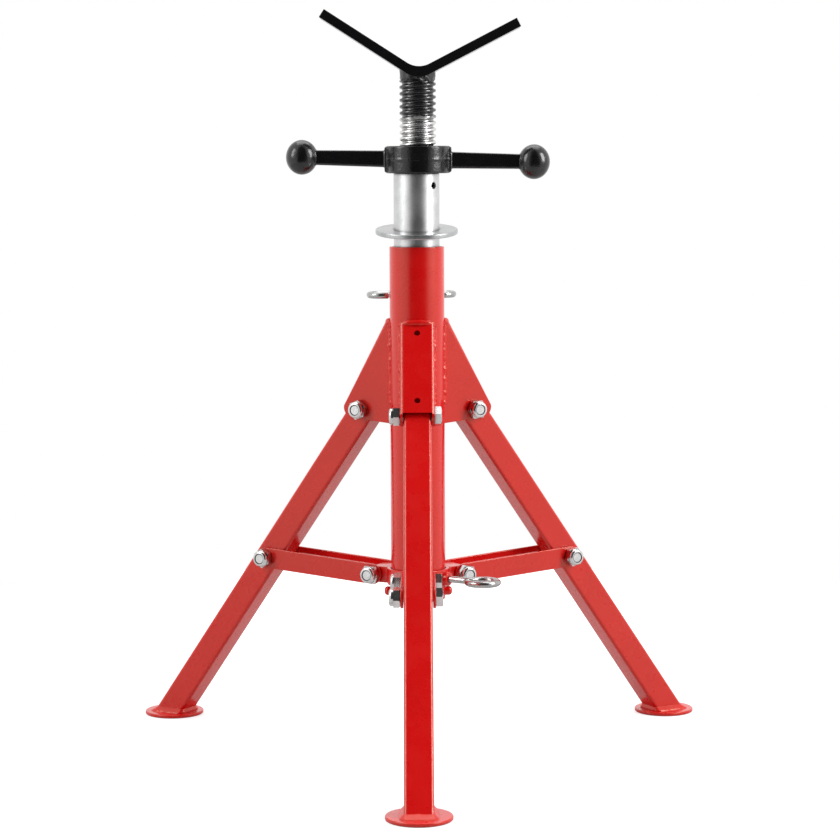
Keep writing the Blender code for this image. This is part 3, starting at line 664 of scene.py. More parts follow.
# %% [markdown]
# ## Studio walls
# Round metal shows the room. The tube has one soft dark stripe down its middle, where it mirrors the dark
# end of the room behind the camera, and the rest of the room is white. The world draws that dark end as a
# band of compass directions. It could be a black card, but a card would also shade the floor.

# %% Paint the room round the stand
def studio_walls(left, right, darkest):
    world = bpy.data.worlds.new("studio")
    world.use_nodes = True
    tree = world.node_tree
    parts = place_parts(tree, "Generated")
    forwards = sum_node(tree, "MULTIPLY", parts["Y"], -1.0)
    compass = sum_node(tree, "ARCTAN2", parts["X"], forwards)
    middle, half = math.radians((left + right) / 2), math.radians((right - left) / 2)
    away = sum_node(tree, "ABSOLUTE", sum_node(tree, "SUBTRACT", compass, middle))
    wall = fade(tree, away, half * 0.55, half, darkest, 1.0)
    rays = add_node(tree, "ShaderNodeLightPath")
    back = tree.nodes["Background"].inputs
    feed(tree, sum_node(tree, "MAXIMUM", rays.outputs["Is Camera Ray"], wall), back["Strength"])
    feed(tree, white, back["Color"])
    bpy.context.scene.world = world


studio_walls(-47.0, 56.0, 0.05)
print("walls painted")


# %% [markdown]
# ## Floor
# A pale disc carries the stand's shadow. It glows for the camera alone, more towards its rim, so that it
# runs out into the white of the room, and the glow sends no light onto the stand.

# %% Lay the floor
floor_radius, floor_drop, glow_start = 1.25, 0.0002, 0.35


def pale_floor(tree):
    paper = blend(tree, cloud(tree, 0.8), (0.50, 0.50, 0.50), (0.53, 0.53, 0.53))
    uneven = relief(tree, (cloud(tree, 0.01, 2.0), 0.0001, 0.1))
    distance = add_node(tree, "ShaderNodeVectorMath", operation="LENGTH")
    feed(tree, add_node(tree, "ShaderNodeTexCoord").outputs["Object"], distance.inputs[0])
    glow = fade(tree, distance.outputs["Value"], glow_start, floor_radius * 0.95, 0.60, 1.0)
    camera_rays = add_node(tree, "ShaderNodeLightPath").outputs["Is Camera Ray"]
    return {
        "Base Color": paper,
        "Roughness": 0.65,
        "Normal": uneven,
        "Emission Color": white,
        "Emission Strength": sum_node(tree, "MULTIPLY", camera_rays, glow),
    }


shape = bmesh.new()
bmesh.ops.create_circle(shape, cap_ends=True, segments=128, radius=floor_radius)
floor = raw("studio_floor", shape, move(0, 0, -floor_drop))
floor.data.materials.append(mixed("pale_floor", pale_floor))
print("floor", floor_radius * 2, "m across")


# %% [markdown]
# ## Main post
# The post is a length of round tube. Holes are drilled across it for the two height pins, for the collar's
# pin and for a stop rod under the collar. Its tube is turned as one closed profile, wall and all, so that
# the open top and bottom show real thickness.

# %% Turn the post and find its rod
post_wall, reach = 0.003, post_radius + past
rod_half = span("collar_stop_rod", 0)[1]
rod_height, rod_radius = sum(span("collar_stop_rod", 2)) / 2, half_span("collar_stop_rod", 2)
profile = rolled_ring(post_radius - post_wall, post_radius, post_bottom, post_top, 0.0009)
post = turned("post", profile, 160, closed=True)
print("stop rod at", mm(rod_height), "mm")

# %% Drill the post
pin_hole, pin_height = 0.0038, 0.4989
pin_azimuths = {"left": 228.7, "right": 149.3}
collar_pin = 58.0, 0.1885
holes = [side_drill(azimuth, pin_height, pin_hole, past, reach) for azimuth in pin_azimuths.values()]
holes.append(side_drill(*collar_pin, pin_hole, past, reach))
holes.append(side_drill(90.0, rod_height, rod_radius, -reach, reach))
dress(cut(post, *holes), red, "post", "main_tube")
print("post faces", len(post.data.polygons))


# %% [markdown]
# ## Stop rod
# A round rod goes right through the post and stops the collar from sliding down any further. Its ends are
# filed to soft domes and painted with the frame. It is turned lying down, along the X axis.

# %% Turn the stop rod
rod_profile = rolled_disc(rod_radius, -rod_half, rod_half, 0.0038, 7)
dress(turned("stop_rod", rod_profile, 40, pointing_out(90.0, rod_height)), red, "post", "collar_stop_rod")
print("rod", mm(rod_half * 2), "mm long")


# %% [markdown]
# ## Inner tube
# The inner tube slides in the post and carries the screw. Pin holes run down it in one line. Only the top
# one shows in the photograph, between the washer and the handle, and its place fixes the line.

# %% Turn and drill the inner tube
inner_radius = span("inner_tube", 0)[1]
inner_bottom, inner_top = span("inner_tube", 2)
inner_wall, hole_top, hole_pitch = 0.0025, 0.6199, 0.121
profile = rolled_ring(inner_radius - inner_wall, inner_radius, inner_bottom, inner_top, 0.0006)
tube = turned("sliding_tube", profile, 160, closed=True)
count = math.floor((hole_top - inner_bottom) / hole_pitch + 0.5)
heights = [hole_top - hole_pitch * step for step in range(count)]
cut(tube, *[side_drill(pin_azimuths["left"], height, pin_hole, -reach, reach) for height in heights])
dress(tube, zinc, "inner", "inner_tube")
print("pin holes", count)


# %% [markdown]
# ## Washer
# A thick washer sits tight on the inner tube, tipped towards the camera by a few degrees, as photographed.
# The tilted disc is made first and the tube's bore is cut upright through it, so the hole stays round on
# the tube.

# %% Turn the tipped washer
washer_height, washer_tilt, washer_half = 0.5701, 7.3, 0.0025
washer_radius = span("stop_washer", 0)[1]
tipped = move(0, 0, washer_height) @ rotate("X", washer_tilt)
washer = turned("tube_washer", rolled_disc(washer_radius, -washer_half, washer_half, 0.0010), 160, tipped)
cut(washer, drill(inner_radius + 0.00005, washer_height - past * 2, washer_height + past * 2, 160))
dress(washer, zinc_washer, "inner", "stop_washer")
print("washer", mm(washer_radius * 2), "mm across")


# %% [markdown]
# ## Ring pins
# A ring pin is one length of bright wire: a straight shank that goes into the hole, a short neck, and a
# nearly closed ring to pull it by. It is drawn along a single path. The neck is a curve that leaves the
# shank straight and meets the ring straight, so that no kink shows.

# %% Lay out a ring pin's path
wire_radius, pin_clear = 0.00372, 0.0003
ring_start, ring_gap = 30.0, 54.0


def pin_path(tip, centre, ring_radius, way):
    bend = ring_radius - wire_radius
    start, sweep = math.radians(180.0 + ring_start), math.radians(360.0 - ring_gap)
    neck = Vector((centre + bend * math.cos(start), bend * math.sin(start), 0))
    neck_along = Vector((-math.sin(start), math.cos(start), 0))
    elbow = neck - neck_along * (neck.y / neck_along.y)
    shank_end = elbow - Vector(((neck - elbow).length * 0.42, 0, 0))
    path = [Vector((tip, 0, 0)).lerp(shank_end, step / 4) for step in range(4)]
    for share in [step / 8 for step in range(8)]:
        path.append(shank_end.lerp(elbow, share).lerp(elbow.lerp(neck, share), share))
    path += [Vector((x, y, 0)) for x, y in arc(centre, 0, bend, 48, start, sweep)]
    return [Vector((point.x, point.y * way, 0)) for point in path]


# %% Bend the three ring pins
def ring_pin(name, azimuth, height, path, body, node):
    place = move(0, 0, height) @ about_z(azimuth)
    dress(swept(name, path, wire_radius, 28, place), pin_zinc, body, node)


for label, way in (("left", 1), ("right", -1)):
    path = pin_path(inner_radius + pin_clear, 0.0505, 0.0180, way)
    names = "ring_pin_" + label, "pin_" + label, "height_pin_" + label
    ring_pin(names[0], pin_azimuths[label], pin_height, path, *names[1:])
path = pin_path(post_radius + pin_clear, 0.083, 0.0200, -1)
ring_pin("ring_pin_collar", *collar_pin, path, "collar_pin", "collar_pin")
print("ring pins", len(pin_azimuths) + 1)


# %% [markdown]
# ## Sliding collar
# The collar is a thick ring that runs on the post and carries the lower ends of the braces. A pin through a
# small round boss holds it. The boss is turned pointing outwards, and the collar's own curve is cut from
# its root.

# %% Turn the collar
collar_bottom, collar_top = span("collar", 2)
collar_radius, collar_clear = span("collar", 0)[1], 0.0007
profile = rolled_ring(post_radius + collar_clear, collar_radius, collar_bottom, collar_top, 0.0010)
collar = turned("collar_ring", profile, 128, closed=True)
cut(collar, side_drill(*collar_pin, pin_hole, past, reach * 2))
dress(collar, red, "collar", "collar")
print("collar", mm(collar_top - collar_bottom), "mm high")


# %% Turn the pin's boss
def collar_shape(sunk):
    return drill(collar_radius - sunk, collar_bottom - past, collar_top + past)


boss_radius, boss_stands_out = 0.0075, 0.006
profile = rolled_disc(boss_radius, post_radius, collar_radius + boss_stands_out, 0.0010)
boss = turned("pin_boss", profile, 48, pointing_out(*collar_pin))
cut(boss, collar_shape(0.0002), side_drill(*collar_pin, pin_hole, past, reach * 2))
dress(boss, red, "collar", "collar_pin_boss")
print("boss faces", len(boss.data.polygons))


# %% [markdown]
# ## Bolts
# The legs hang on M12 hexagon bolts with lock nuts. A stock hexagon would have corners as sharp as a
# pencil. Real heads are chamfered on a lathe, so the hexagon is intersected with a turned cone, which
# leaves the curved bites at its corners. One head and one nut are made, and the nine bolts are copies, each
# spun by its own angle.

# %% Saw a hexagon and turn the corners off one end
bolt_radius, bolt_flats = 0.0060, 0.019
head_height, nut_height, nut_hex = 0.0075, 0.0120, 0.0074


def hexagon(height, turned_end):
    corner = bolt_flats / 2 / math.cos(math.pi / 6)
    rings = [[(x, y, level) for x, y in arc(0, 0, corner, 6, math.pi / 6)] for level in (0, height)]
    wide, face = corner * 1.02, bolt_flats / 2 * 0.95
    slant = (wide - face) * 0.60
    cone = {"top": [(wide, 0), (wide, height - slant), (face, height)],
            "bottom": [(face, 0), (wide, slant), (wide, height)]}[turned_end]
    cone_model = turned("cone", [(0, 0)] + cone + [(0, height)], 72)
    return combine(skinned("hexagon", rings, flat_on_floor), "INTERSECT", cone_model)


head_model = roll_edges(hexagon(head_height, "top"), 0.0003)
print("head faces", len(head_model.data.polygons))


# %% [markdown]
# ## Lock nuts
# A lock nut is a hexagon with a round crown that grips a nylon ring. In the photograph the crown's rolled
# lip is the brightest part, with a thin grey line where the nylon shows round the bolt. So the crown is
# nearly as wide as the hexagon, with a full quarter round, and the nylon sits on the chamfer of the bolt's
# end.

# %% Turn the lock nut's crown
def lock_nut():
    blank = hexagon(nut_hex, "bottom")
    wide, roll = bolt_flats / 2 * 0.97, 0.0029
    rim = arc(wide - roll, nut_height - roll, roll, 7, 0.0, math.pi / 2)
    join(blank, turned("crown", [(0, nut_hex / 2), (wide, nut_hex / 2)] + rim + [(0, nut_height)], 72))
    cut(blank, drill(bolt_radius + 0.00005, -past, nut_height + past, 60))
    return roll_edges(blank, 0.00025, angle=40.0)


nut_model = lock_nut()
print("nut faces", len(nut_model.data.polygons))


# %% [markdown]
# ## Where a bolt goes
# Every bolt runs level, across a leg. `along_bolt` lays local Z on the bolt's axis, pointing outwards from
# one face, so that the same head and nut serve both sides. The bolt of leg 3 faces the other way, as
# photographed.

# %% Lay a bolt across a leg
legs = {number: about_z(120.0 * (number - 1)) for number in (1, 2, 3)}
nut_sides = {1: -1, 2: -1, 3: 1}


def along_bolt(around, centre, side, face):
    return around @ move(centre.x, side * face, centre.y) @ rotate("X", -90.0 * side)


def bolt_hole(around, centre, clearance):
    place = around @ move(centre.x, 0, centre.y) @ rotate("X", 90.0)
    return drill(bolt_radius + clearance, -0.05, 0.05, 48, place)


print("nut sides", nut_sides)


# %% Turn a shank, and spin a copy of a head or nut into place
chamfer_long, chamfer_deep = 0.0012, 0.0011


def shank(name, place, start, end):
    tip = [(bolt_radius, end - chamfer_long), (bolt_radius - chamfer_deep, end), (0, end)]
    return turned(name, [(0, start), (bolt_radius, start)] + tip, 48, place)


def copy_of(model, name, place, spin):
    made = bpy.data.objects.new(name, model.data.copy())
    bpy.context.scene.collection.objects.link(made)
    made.data.transform(place @ rotate("Z", spin))
    return made


# %% Bolt up: a head with its shank, and a lock nut with its nylon
thread_end = nut_height - 0.0008
nylon_bore, nylon_rim = bolt_radius - 0.00105, bolt_radius + 0.00004
nylon_seen = rolled_ring(nylon_bore, nylon_rim, nut_height - 0.0024, nut_height - 0.0009, 0.0001)


def bolt_up(number, names, centre, face, body, spins, length, nodes):
    # The names and nodes are those of the head and the nut, and so are the spins.
    head_place, nut_place = [along_bolt(legs[number], centre, side * nut_sides[number], face) for side in (-1, 1)]
    (head_name, nut_name), (head_node, nut_node) = [[text % number for text in pair] for pair in (names, nodes)]
    rod = shank(head_name + "_rod", head_place @ rotate("X", 180.0), -head_height / 2, length)
    dress(join(copy_of(head_model, head_name, head_place, spins[0]), rod), bright, body, head_node)
    dress(copy_of(nut_model, nut_name, nut_place, spins[1]), bright, body, nut_node)
    dress(turned(nut_name + "_nylon", nylon_seen, 48, nut_place, closed=True), nylon, body)
    return nut_place


print("a bolt's end stands", mm(nut_height - thread_end), "mm below its nut's rim")


# %% [markdown]
# ## The line of a leg
# A leg runs from its hinge to the middle of its foot, and the brace bolt sits on that line. The few
# directions below are shared by the bracket, the leg and the braces, so they are worked out once, in the
# leg's own frame of (outwards, up).

# %% Find the leg's directions
hinge, pivot_run, foot_place = Vector((0.0628, 0.373)), 0.2173, 0.3328
foot_low, foot_high = span("foot_plate_1", 2)
leg_angle = math.atan2(foot_place - hinge.x, hinge.y - foot_high)
leg_down = Vector((math.sin(leg_angle), -math.cos(leg_angle)))
leg_side = Vector((math.cos(leg_angle), math.sin(leg_angle)))
leg_pivot = hinge + leg_down * pivot_run
leg_half = half_span("leg_tube_1", 0)
print("a leg leans", round(math.degrees(leg_angle), 1), "degrees and is", mm(leg_half * 2), "mm square")


# %% [markdown]
# ## Leg brackets
# Each bracket is folded from one 3 mm sheet: a sloping web that faces outwards, and a cheek down each side
# that is welded to the post. It could be three plates, but then the folds would be sharp. It is a solid
# wedge with its two long edges rounded, hollowed out by a smaller wedge, so the fold is round outside and
# tight inside.

# %% Draw the bracket from the side
bracket_top, bracket_face = span("leg_bracket_1", 2)[1], span("leg_bracket_1", 0)[1]
bracket_bottom, web_bottom, bracket_sheet = 0.3592, 0.379, 0.0030
ear_radius, ear_height, root = 0.012, 0.375, post_radius - 0.008
head_out, foot_out = 0.0308, 0.0836
head, foot = Vector((head_out, bracket_top)), Vector((foot_out, web_bottom))
slope = (head - foot).normalized()
outwards = Vector((slope.y, -slope.x))
side_view = [(root, bracket_top), tuple(head), tuple(foot)]
side_view += arc(foot_out - ear_radius, ear_height, ear_radius, 12, 0.0, -math.pi * 0.45) + [(root, bracket_bottom)]
print("bracket", mm(bracket_top - bracket_bottom), "mm tall")

# %% Draw what is hollow inside it
inner = foot - outwards * bracket_sheet
web_end, web_start = [inner + slope * (level - inner.y) / slope.y for level in (web_bottom, bracket_top + past)]
hollow_view = [(0, bracket_top + past), tuple(web_start), tuple(web_end), (foot.x + past, web_bottom)]
hollow_view += [(foot.x + past, bracket_bottom - past), (0, bracket_bottom - past)]
print("web slopes", round(math.degrees(math.atan2(slope.y, -slope.x)), 1), "degrees")

# %% Drill the bracket's bolt hole and the web's two
web_hole, web_holes_at = 0.0033, (0.0144, (head - foot).length - 0.0124)


def bracket_holes(around):
    square_on = rotate("Y", math.degrees(math.atan2(outwards.x, outwards.y)))
    holes = [bolt_hole(around, hinge, 0.0)]
    for centre in [foot + slope * along for along in web_holes_at]:
        holes.append(drill(web_hole, -past / 2, past / 2, 40, around @ move(centre.x, 0, centre.y) @ square_on))
    return holes


# %% Fold the brackets
web_edge, fold_outside, fold_inside = ((1, 2),), 0.0048, 0.0006
cheek = bracket_face - bracket_sheet
for number, around in legs.items():
    made = plate("bracket_%d" % number, side_view, -bracket_face, bracket_face, around, web_edge, fold_outside)
    hollow = plate("hollow", hollow_view, -cheek, cheek, around, web_edge, fold_inside)
    clear = drill(post_radius - 0.0003, bracket_bottom - past, bracket_top + past, 160)
    cut(made, hollow, clear, *bracket_holes(around))
    dress(roll_edges(made, 0.0006, 3, 40.0), red, "post", "leg_bracket_%d" % number)
print("brackets", len(legs))


# %% [markdown]
# ## Bracket welds
# Where a cheek meets the post there is a wide, flat, wavy bead down the whole joint, and a shorter one
# closes the gap over the top of the web. The wide bead is a round section sunk most of the way into the
# joint, so that only its crown shows, and it stops in a rounded end a little above the cheek's lower edge.

# %% Weld the cheeks
cheek_bead, top_bead = 0.0057, 0.0034
cheek_joint = Vector((math.sqrt(post_radius**2 - bracket_face**2), bracket_face)) - Vector((0.0016, 0.0031))


def cheek_weld(number, label, side):
    x, y = cheek_joint.x, cheek_joint.y * side
    path = bead_path((x, y, web_bottom + 0.002), (x, y, bracket_top - 0.0046))
    name = "bracket_%d_bead_%s" % (number, label)
    dress_weld(swept(name, path, cheek_bead, 20, legs[number], ripple), "post")


# %% Weld the top of the web
def top_weld(number):
    half = bracket_face - 0.0022
    path = []
    for step in range(19):
        share = step / 9 - 1
        on_post = math.sqrt(post_radius**2 - (half * share)**2)
        sag, bulge = 0.0040 * share**6, 0.0010 - 0.0022 * share**4
        path.append(Vector(((on_post + head.x) / 2 + bulge, half * share, bracket_top - 0.0004 - sag)))
    dress_weld(swept("bracket_%d_bead_top" % number, path, top_bead, 18, legs[number], gentle), "post")


for number in legs:
    cheek_weld(number, "a", -1)
    cheek_weld(number, "b", 1)
    top_weld(number)
print("bracket beads", 3 * len(legs))

# %% Bolt the hinges
hinge_spins = {1: (11.0, 30.0), 2: (22.0, 34.0), 3: (33.0, 51.0)}
names, nodes = ("hinge_head_%d", "hinge_lock_nut_%d"), ("hinge_bolt_%d", "hinge_nut_%d")
for number, spins in hinge_spins.items():
    bolt_up(number, names, hinge, bracket_face, "post", spins, bracket_face * 2 + thread_end, nodes)
print("hinge bolts", len(hinge_spins))


# %% [markdown]
# ## Legs
# The legs are square tube with rounded corners, open at the top and sawn level at the foot. The outline is
# the tube seen from the side, and only its four long edges are rounded. The bore is a second, smaller bar
# that runs out past the top.

# %% Measure along a leg
leg_wall, leg_corner, leg_head, loose = 0.002, 0.0034, 0.009, 0.0001


def leg_point(run, offset):
    return tuple(hinge + leg_down * run + leg_side * offset)


def run_to(offset, level):
    return (hinge.y + offset * leg_side.y - level) / -leg_down.y


def bar_seen(half, start, level):
    top = [leg_point(start, -half), leg_point(start, half)]
    return top + [leg_point(run_to(half, level), half), leg_point(run_to(-half, level), -half)]


print("leg is", round(run_to(0.0, foot_high) * 1000), "mm from hinge to foot")

# %% Draw and drill the legs
long_edges, inside = ((1, 2), (3, 0)), leg_half - leg_wall
tube_seen = bar_seen(leg_half, -leg_head, foot_high - 0.0003)
bore_seen = bar_seen(inside, -leg_head - past, -past)
for number, around in legs.items():
    made = plate("leg_%d_tube" % number, tube_seen, -leg_half, leg_half, around, long_edges, leg_corner)
    bore = plate("bore", bore_seen, -inside, inside, around, long_edges, leg_corner - leg_wall / 2)
    cut(made, bore, bolt_hole(around, hinge, loose), bolt_hole(around, leg_pivot, loose))
    dress(roll_edges(made, 0.0003, angle=50.0), red, "leg_%d" % number, "leg_tube_%d" % number)
print("legs", len(legs))


# %% [markdown]
# ## Feet
# Each leg ends on a round plate. It is welded all round, and the weld is a fat sloping fillet with a lumpy
# edge, so its path follows the level cut of the tube, which is longer outwards than across.

# %% Turn the feet
foot_radius = span("foot_plate_1", 0)[1]
foot_profile = rolled_disc(foot_radius, foot_low, foot_high, 0.0012)
for number, around in legs.items():
    disc = turned("foot_%d_disc" % number, foot_profile, 128, around @ move(foot_place, 0, 0))
    dress(disc, red, "leg_%d" % number, "foot_plate_%d" % number)
print("feet", mm(foot_radius * 2), "mm across")

# %% Walk round the leg's cut
half_long = leg_half / abs(leg_down.y)
middle = leg_point(run_to(0.0, foot_high), 0.0)[0]
corners = []
for out, side, start in ((-1, 1, 90.0), (-1, -1, 180.0), (1, -1, 270.0), (1, 1, 0.0)):
    x, y = middle + out * (half_long - leg_corner), side * (leg_half - leg_corner)
    corners += [Vector((*p, foot_high)) for p in arc(x, y, leg_corner, 4, math.radians(start), math.pi / 2)]
walk, puddle, longest_step = [], 0.0017, 0.006
for first, last in zip(corners, corners[1:] + corners[:1]):
    walk += bead_path(first, last, puddle)[:-1] if (last - first).length > longest_step else [first]
print("weld is", len(walk), "puddles long")

# %% Lay a sloping weld along the walk
weld_seen = ((-0.0010, 0.0046), (0.0003, 0.0049), (0.0013, 0.0038), (0.0034, 0.0020), (0.0047, 0.0010))
weld_seen += ((0.0052, -0.0004), (-0.0010, -0.0004))


def foot_weld(name, place):
    rings = []
    for index, point in enumerate(walk):
        along = (walk[(index + 1) % len(walk)] - walk[index - 1]).normalized()
        normal, lump = Vector((along.y, -along.x, 0)), gentle(point, index)
        leans = [(out, Vector((-up * math.tan(leg_angle), 0, up))) for out, up in weld_seen]
        rings.append([point + (normal * out + lean) * lump for out, lean in leans])
    return skinned(name, rings, place, closed=True)


for number, around in legs.items():
    dress_weld(foot_weld("foot_%d_bead" % number, around), "leg_%d" % number, 50.0)
print("foot beads", len(legs))


# %% [markdown]
# ## Collar lugs
# A block stands out from the collar at each leg and carries the brace bolt. Its outer end is round about
# the bolt, so that the braces can swing past it.

# %% Cut the lugs
lug_bolt, lug_radius, lug_half = Vector((0.04905, 0.1897)), 0.0090, leg_half + loose
lug_seen = [(post_radius, lug_bolt.y - lug_radius), (lug_bolt.x, lug_bolt.y - lug_radius)]
lug_seen += arc(*lug_bolt, lug_radius, 20, -math.pi / 2, math.pi)[1:] + [(post_radius, lug_bolt.y + lug_radius)]
for number, around in legs.items():
    lug = plate("collar_lug_%d_block" % number, lug_seen, -lug_half, lug_half, around)
    cut(lug, collar_shape(0.0003), bolt_hole(around, lug_bolt, loose))
    dress(roll_edges(lug, 0.0007), red, "collar", "collar_lug_%d" % number)
print("lugs", len(legs))


# %% [markdown]
# ## Braces
# Two flat bars with round ends hold each leg between them. They turn on one bolt at the collar and one
# through the leg. The bars are cut from plate, and their edges are rolled a good deal, as hot-rolled flat
# bar comes.

# %% Cut the brace bars
brace_half, inside_face, outside_face = 0.0115, leg_half + 0.0005, leg_half + 0.0035
tilt = math.atan2(leg_pivot.y - lug_bolt.y, leg_pivot.x - lug_bolt.x)
brace_seen = arc(*lug_bolt, brace_half, 14, tilt + math.pi / 2, math.pi)
brace_seen += arc(*leg_pivot, brace_half, 14, tilt - math.pi / 2, math.pi)
for number, around in legs.items():
    for label, side in (("a", nut_sides[number]), ("b", -nut_sides[number])):
        near, far = sorted((side * inside_face, side * outside_face))
        bar = plate("brace_%d_bar_%s" % (number, label), brace_seen, near, far, around)
        dress(roll_edges(bar, 0.0009, 3), red, "brace_%d" % number, "brace_bar_%d_%s" % (number, label))
print("braces", 2 * len(legs), "each", mm((leg_pivot - lug_bolt).length), "mm between holes")

# %% Bolt the braces to the collar
names, nodes = ("brace_%d_head", "brace_%d_lock_nut"), ("brace_bolt_%d", "brace_nut_%d")
for number in legs:
    spins, through = (23.0 * number, 9.0 * number), outside_face * 2 + thread_end
    bolt_up(number, names, lug_bolt, outside_face, "brace_%d" % number, spins, through, nodes)
print("collar bolts", len(legs))

# %% Bolt the braces to the legs
sheet = outside_face - inside_face
names, nodes = ("pivot_%d_head", "pivot_%d_lock_nut"), ("leg_bolt_head_%d", "leg_bolt_nut_%d")
cross_profile = [(0, 0), (bolt_radius, 0), (bolt_radius, leg_half * 2), (0, leg_half * 2)]
for number, around in legs.items():
    body, spins = "brace_%d" % number, (5.0 + 13.0 * number, 21.0 * number)
    place = bolt_up(number, names, leg_pivot, outside_face, body, spins, sheet, nodes)
    dress(shank("pivot_%d_rod_end" % number, place, -sheet, thread_end), bright, body)
    cross = turned("leg_%d_cross_rod" % number, cross_profile, 48, along_bolt(around, leg_pivot, 1, -leg_half))
    dress(cross, bright, "leg_%d" % number, "leg_bolt_shank_%d" % number)
for model in (head_model, nut_model):
    bpy.data.objects.remove(model, do_unlink=True)
print("leg bolts", len(legs))


# %% [markdown]
# ## Handle nut
# The handle is one rough casting: a hub, a short boss each side, and two arms that end in balls. Where the
# parts meet, a casting always has fillets. They could be modelled one by one. Here the parts are joined,
# wrapped in a fine even skin and relaxed, which rounds every inside corner at once. The bore is cut
# afterwards, so that it stays crisp.

# %% Place the handle
screw_x, screw_radius = sum(span("lift_screw", 0)) / 2, half_span("lift_screw", 1)
on_screw = move(screw_x, 0, 0)
hub_low, hub_tall, hub_radius = inner_top + 0.0003, 0.0297, span("handle_nut", 1)[1]
hub_high = hub_low + hub_tall
hub_half, handle_tilt = (hub_high - hub_low) / 2, 1.35
hub_middle = move(screw_x, 0, (hub_low + hub_high) / 2)
askew = hub_middle @ rotate("Y", handle_tilt)
print("hub", mm(hub_radius * 2), "mm across, screw axis at x =", mm(screw_x), "mm")

# %% Turn an arm and its ball
arm_root, arm_tip, ball_centre = 0.0092, 0.0079, 0.1266
ball_wide, ball_long = 0.0174, 0.0190


def squarish(point):
    # Turns a round section into a square one with soft corners, as the real arm has.
    radius, angle = math.hypot(point.x, point.y), math.atan2(point.y, point.x)
    square = (abs(math.cos(angle)) ** 7 + abs(math.sin(angle)) ** 7) ** (-1 / 7)
    return Vector((radius * square * math.cos(angle), radius * square * math.sin(angle) * 0.92, point.z))


def arm_and_ball(side):
    start = hub_radius - 0.006
    profile = [(0, start), (arm_root, start), (arm_tip, ball_centre), (0, ball_centre)]
    arm = turned("arm", profile, 64, askew @ rotate("Y", 90.0 * side), warp=squarish)
    angles = [-math.pi / 2 + math.pi * step / 24 for step in range(1, 24)]
    half = [(ball_wide * math.cos(angle), ball_long * math.sin(angle)) for angle in angles]
    profile = [(0, -ball_long)] + half + [(0, ball_long)]
    return arm, turned("ball", profile, 64, askew @ move(side * ball_centre, 0, 0))


# %% Cast the hub with its boss and flash line
boss_reach, boss_high, boss_half = 0.0365, hub_half - 0.0012, 0.0095
flash_out, flash_half = 0.0004, 0.0009
hub = turned("handle_casting", rolled_disc(hub_radius, -hub_half, hub_half, 0.0007), 128, hub_middle)
boss_seen = [(boss_reach * x, boss_high * z) for x, z in ((-1, -1), (1, -1), (1, 1), (-1, 1))]
boss = roll_edges(plate("boss", boss_seen, -boss_half, boss_half, hub_middle), 0.0010, 3)
flash_profile = rolled_disc(hub_radius + flash_out, -flash_half, flash_half, 0.0004)
flash = turned("flash", flash_profile, 128, hub_middle)
print("hub", mm(hub_tall), "mm high")

# %% Join, skin and bore the casting
join(hub, boss, flash, *arm_and_ball(-1), *arm_and_ball(1))
skin = hub.modifiers.new("skin", "REMESH")
skin.mode, skin.voxel_size = "VOXEL", 0.00085
relaxed = hub.modifiers.new("fillets", "SMOOTH")
relaxed.factor, relaxed.iterations = 0.5, 3
apply_steps(hub)
cut(hub, drill(screw_radius + 0.0006, hub_low - past, hub_high + past, 96, on_screw))
dress(hub, black_cast, "handle", "handle_nut", smooth=50.0, level=False)
print("casting faces", len(hub.data.polygons))


# %% [markdown]
# ## Lifting screw
# The screw has a coarse thread of 7 mm pitch. A spiral groove could be cut with a swept tool, but that
# leaves a ragged mesh. Instead each of 72 columns round the rod carries the thread's profile, and each
# column is shifted up a little more than the last, so the rings close into one spiral. The ends run long
# and are cut square afterwards.

# %% Shape the thread
screw_bottom, screw_top = span("lift_screw", 2)
screw_pitch, screw_root, crest = 0.0070, 0.0170, screw_radius + 0.0004
soft = (crest - screw_root) * 0.16
thread = ((screw_root + soft, 0.03), (screw_root, 0.09), (screw_root, 0.31), (screw_root + soft, 0.37))
thread += ((crest - soft * 2, 0.47), (crest - soft * 0.5, 0.54), (crest, 0.61))
thread += ((crest, 0.80), (crest - soft * 0.5, 0.87), (crest - soft * 2, 0.93))
turns = math.ceil((screw_top - screw_bottom) / screw_pitch) + 2
thread_start = screw_bottom - screw_pitch + 0.00126
print("thread depth", mm(crest - screw_root), "mm,", turns, "turns")


# %% Stand the columns round the rod
def thread_columns(shape, steps):
    columns = []
    for step, (x, y) in enumerate(arc(0, 0, 1.0, steps)):
        shares = [(radius, turn + share + step / steps) for turn in range(turns + 1) for radius, share in thread]
        points = [(radius * x, radius * y, thread_start + share * screw_pitch) for radius, share in shares]
        columns.append([shape.verts.new(point) for point in points])
    return columns


# %% Close one end with a fan
def close_end(shape, loop, height):
    tip = shape.verts.new((0, 0, height))
    for index, vertex in enumerate(loop):
        shape.faces.new((vertex, loop[(index + 1) % len(loop)], tip))


# %% Join the columns into one spiral
def threaded_rod(steps):
    shape = bmesh.new()
    columns = thread_columns(shape, steps)
    count, rows = len(thread), len(columns[0])
    for step, here in enumerate(columns):
        there, shift = (columns[0], count) if step == steps - 1 else (columns[step + 1], 0)
        for row in range(rows - 1 - shift):
            shape.faces.new((here[row], there[row + shift], there[row + shift + 1], here[row + 1]))
    low = [column[0] for column in columns] + [columns[0][row] for row in range(count, 0, -1)]
    close_end(shape, low, thread_start - screw_pitch)
    high = [column[-1] for column in columns] + [columns[-1][row] for row in range(rows - 2, rows - 2 - count, -1)]
    close_end(shape, high, thread_start + (turns + 3) * screw_pitch)
    return raw("threaded_rod", shape, on_screw)


# %% Cut the screw to length
screw = threaded_rod(72)
wide, long = screw_radius * 3, screw_pitch * 8
cut(screw, drill(wide, screw_bottom - long, screw_bottom, 24), drill(wide, screw_top, screw_top + long, 24))
dress(screw, screw_steel, "screw", "lift_screw", smooth=60.0, level=False)
print("screw faces", len(screw.data.polygons))


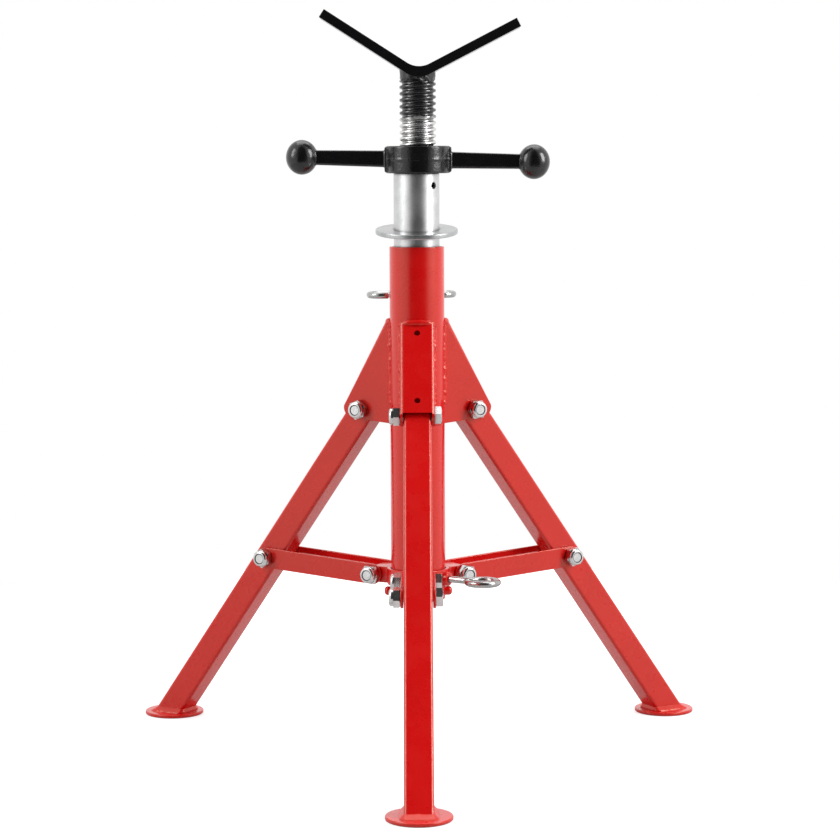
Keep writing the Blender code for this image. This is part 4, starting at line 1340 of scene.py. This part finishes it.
# %% [markdown]
# ## V head
# The pipe rests in a V bent from flat bar. The bend isn't sharp: it has a radius inside and out, and its
# lower face stays thicker at the bend than two plates that cross would. It is welded on a little askew, as
# photographed.

# %% Draw the V
vee_arm, vee_thickness, vee_width = 0.120, 0.0103, span("v_head", 1)[1] * 2
bend_inner, bend_outer = 0.024, 0.0253


def vee_seen():
    half_angle, rise = math.radians(60.0), math.radians(30.0)
    tip_inner = Vector((math.sin(half_angle), math.cos(half_angle))) * vee_arm
    tip_outer = tip_inner + Vector((math.sin(rise), -math.cos(rise))) * vee_thickness
    under, over = [arc(0, centre / math.sin(half_angle), bend, 24, -math.pi / 2 - rise, 2 * rise)
                   for centre, bend in ((bend_inner, bend_inner), (bend_outer - vee_thickness, bend_outer))]
    tips = [tuple(tip_inner), tuple(tip_outer)]
    return [(-tip_inner.x, tip_inner.y)] + under + tips + over[::-1] + [(-tip_outer.x, tip_outer.y)]


# %% Bend the V
vee_shift, vee_height, vee_tilt = 0.0022, 0.7447, 2.8
vee_place = move(vee_shift, 0, vee_height) @ rotate("Y", vee_tilt)
vee = plate("vee_bar", vee_seen(), -vee_width / 2, vee_width / 2, vee_place)
dress(roll_edges(vee, 0.0006, 3, 50.0), black_bar, "screw", "v_head")
print("V head", mm(vee_width), "mm wide")


# %% [markdown]
# ## V weld
# The screw meets the V in one thick, dripping bead. It starts from a flared ring, and noise pushes every
# point in or out and up or down, so that the lower edge wanders as the real one does. Its top is cut to the
# curve of the V.

# %% Lump the bead
weld_low, weld_high = span("v_head_weld", 2)
weld_radius, weld_root = half_span("v_head_weld", 1), 0.0172


def lumpy(point):
    out = Vector((point.x, point.y, 0)).normalized()
    amount = 0.0016 * noise.noise(point * 150.0) + 0.0008 * noise.noise(point * 420.0)
    return point + out * amount + Vector((0, 0, 0.0024 * noise.noise(out * 2.6)))


# %% Lay the bead
weld_start, weld_end, flare_high = weld_low - 0.0015, weld_high + 0.001, 0.0062
flare_wide, weld_top = weld_radius - 0.0186, weld_radius - 0.0012
profile = [(0, weld_start)]
for share in [step / 10 for step in range(11)]:
    flare = math.sin(share * math.pi / 2) ** 0.8
    profile.append((weld_root + flare_wide * flare, weld_start + flare_high * share))
profile += [(weld_top, weld_end), (0, weld_end)]
weld = turned("vee_weld", profile, 120, on_screw, warp=lumpy)
seen = vee_seen()
above = [(x, z + 0.0006) for x, z in seen[len(seen) // 2 :]] + [(-vee_arm, vee_arm * 2), (vee_arm, vee_arm * 2)]
cut(weld, plate("above", above, -vee_width, vee_width, vee_place))
dress(weld, black_weld, "screw", "v_head_weld", smooth=60.0)
print("weld", mm(weld_radius * 2), "mm across")
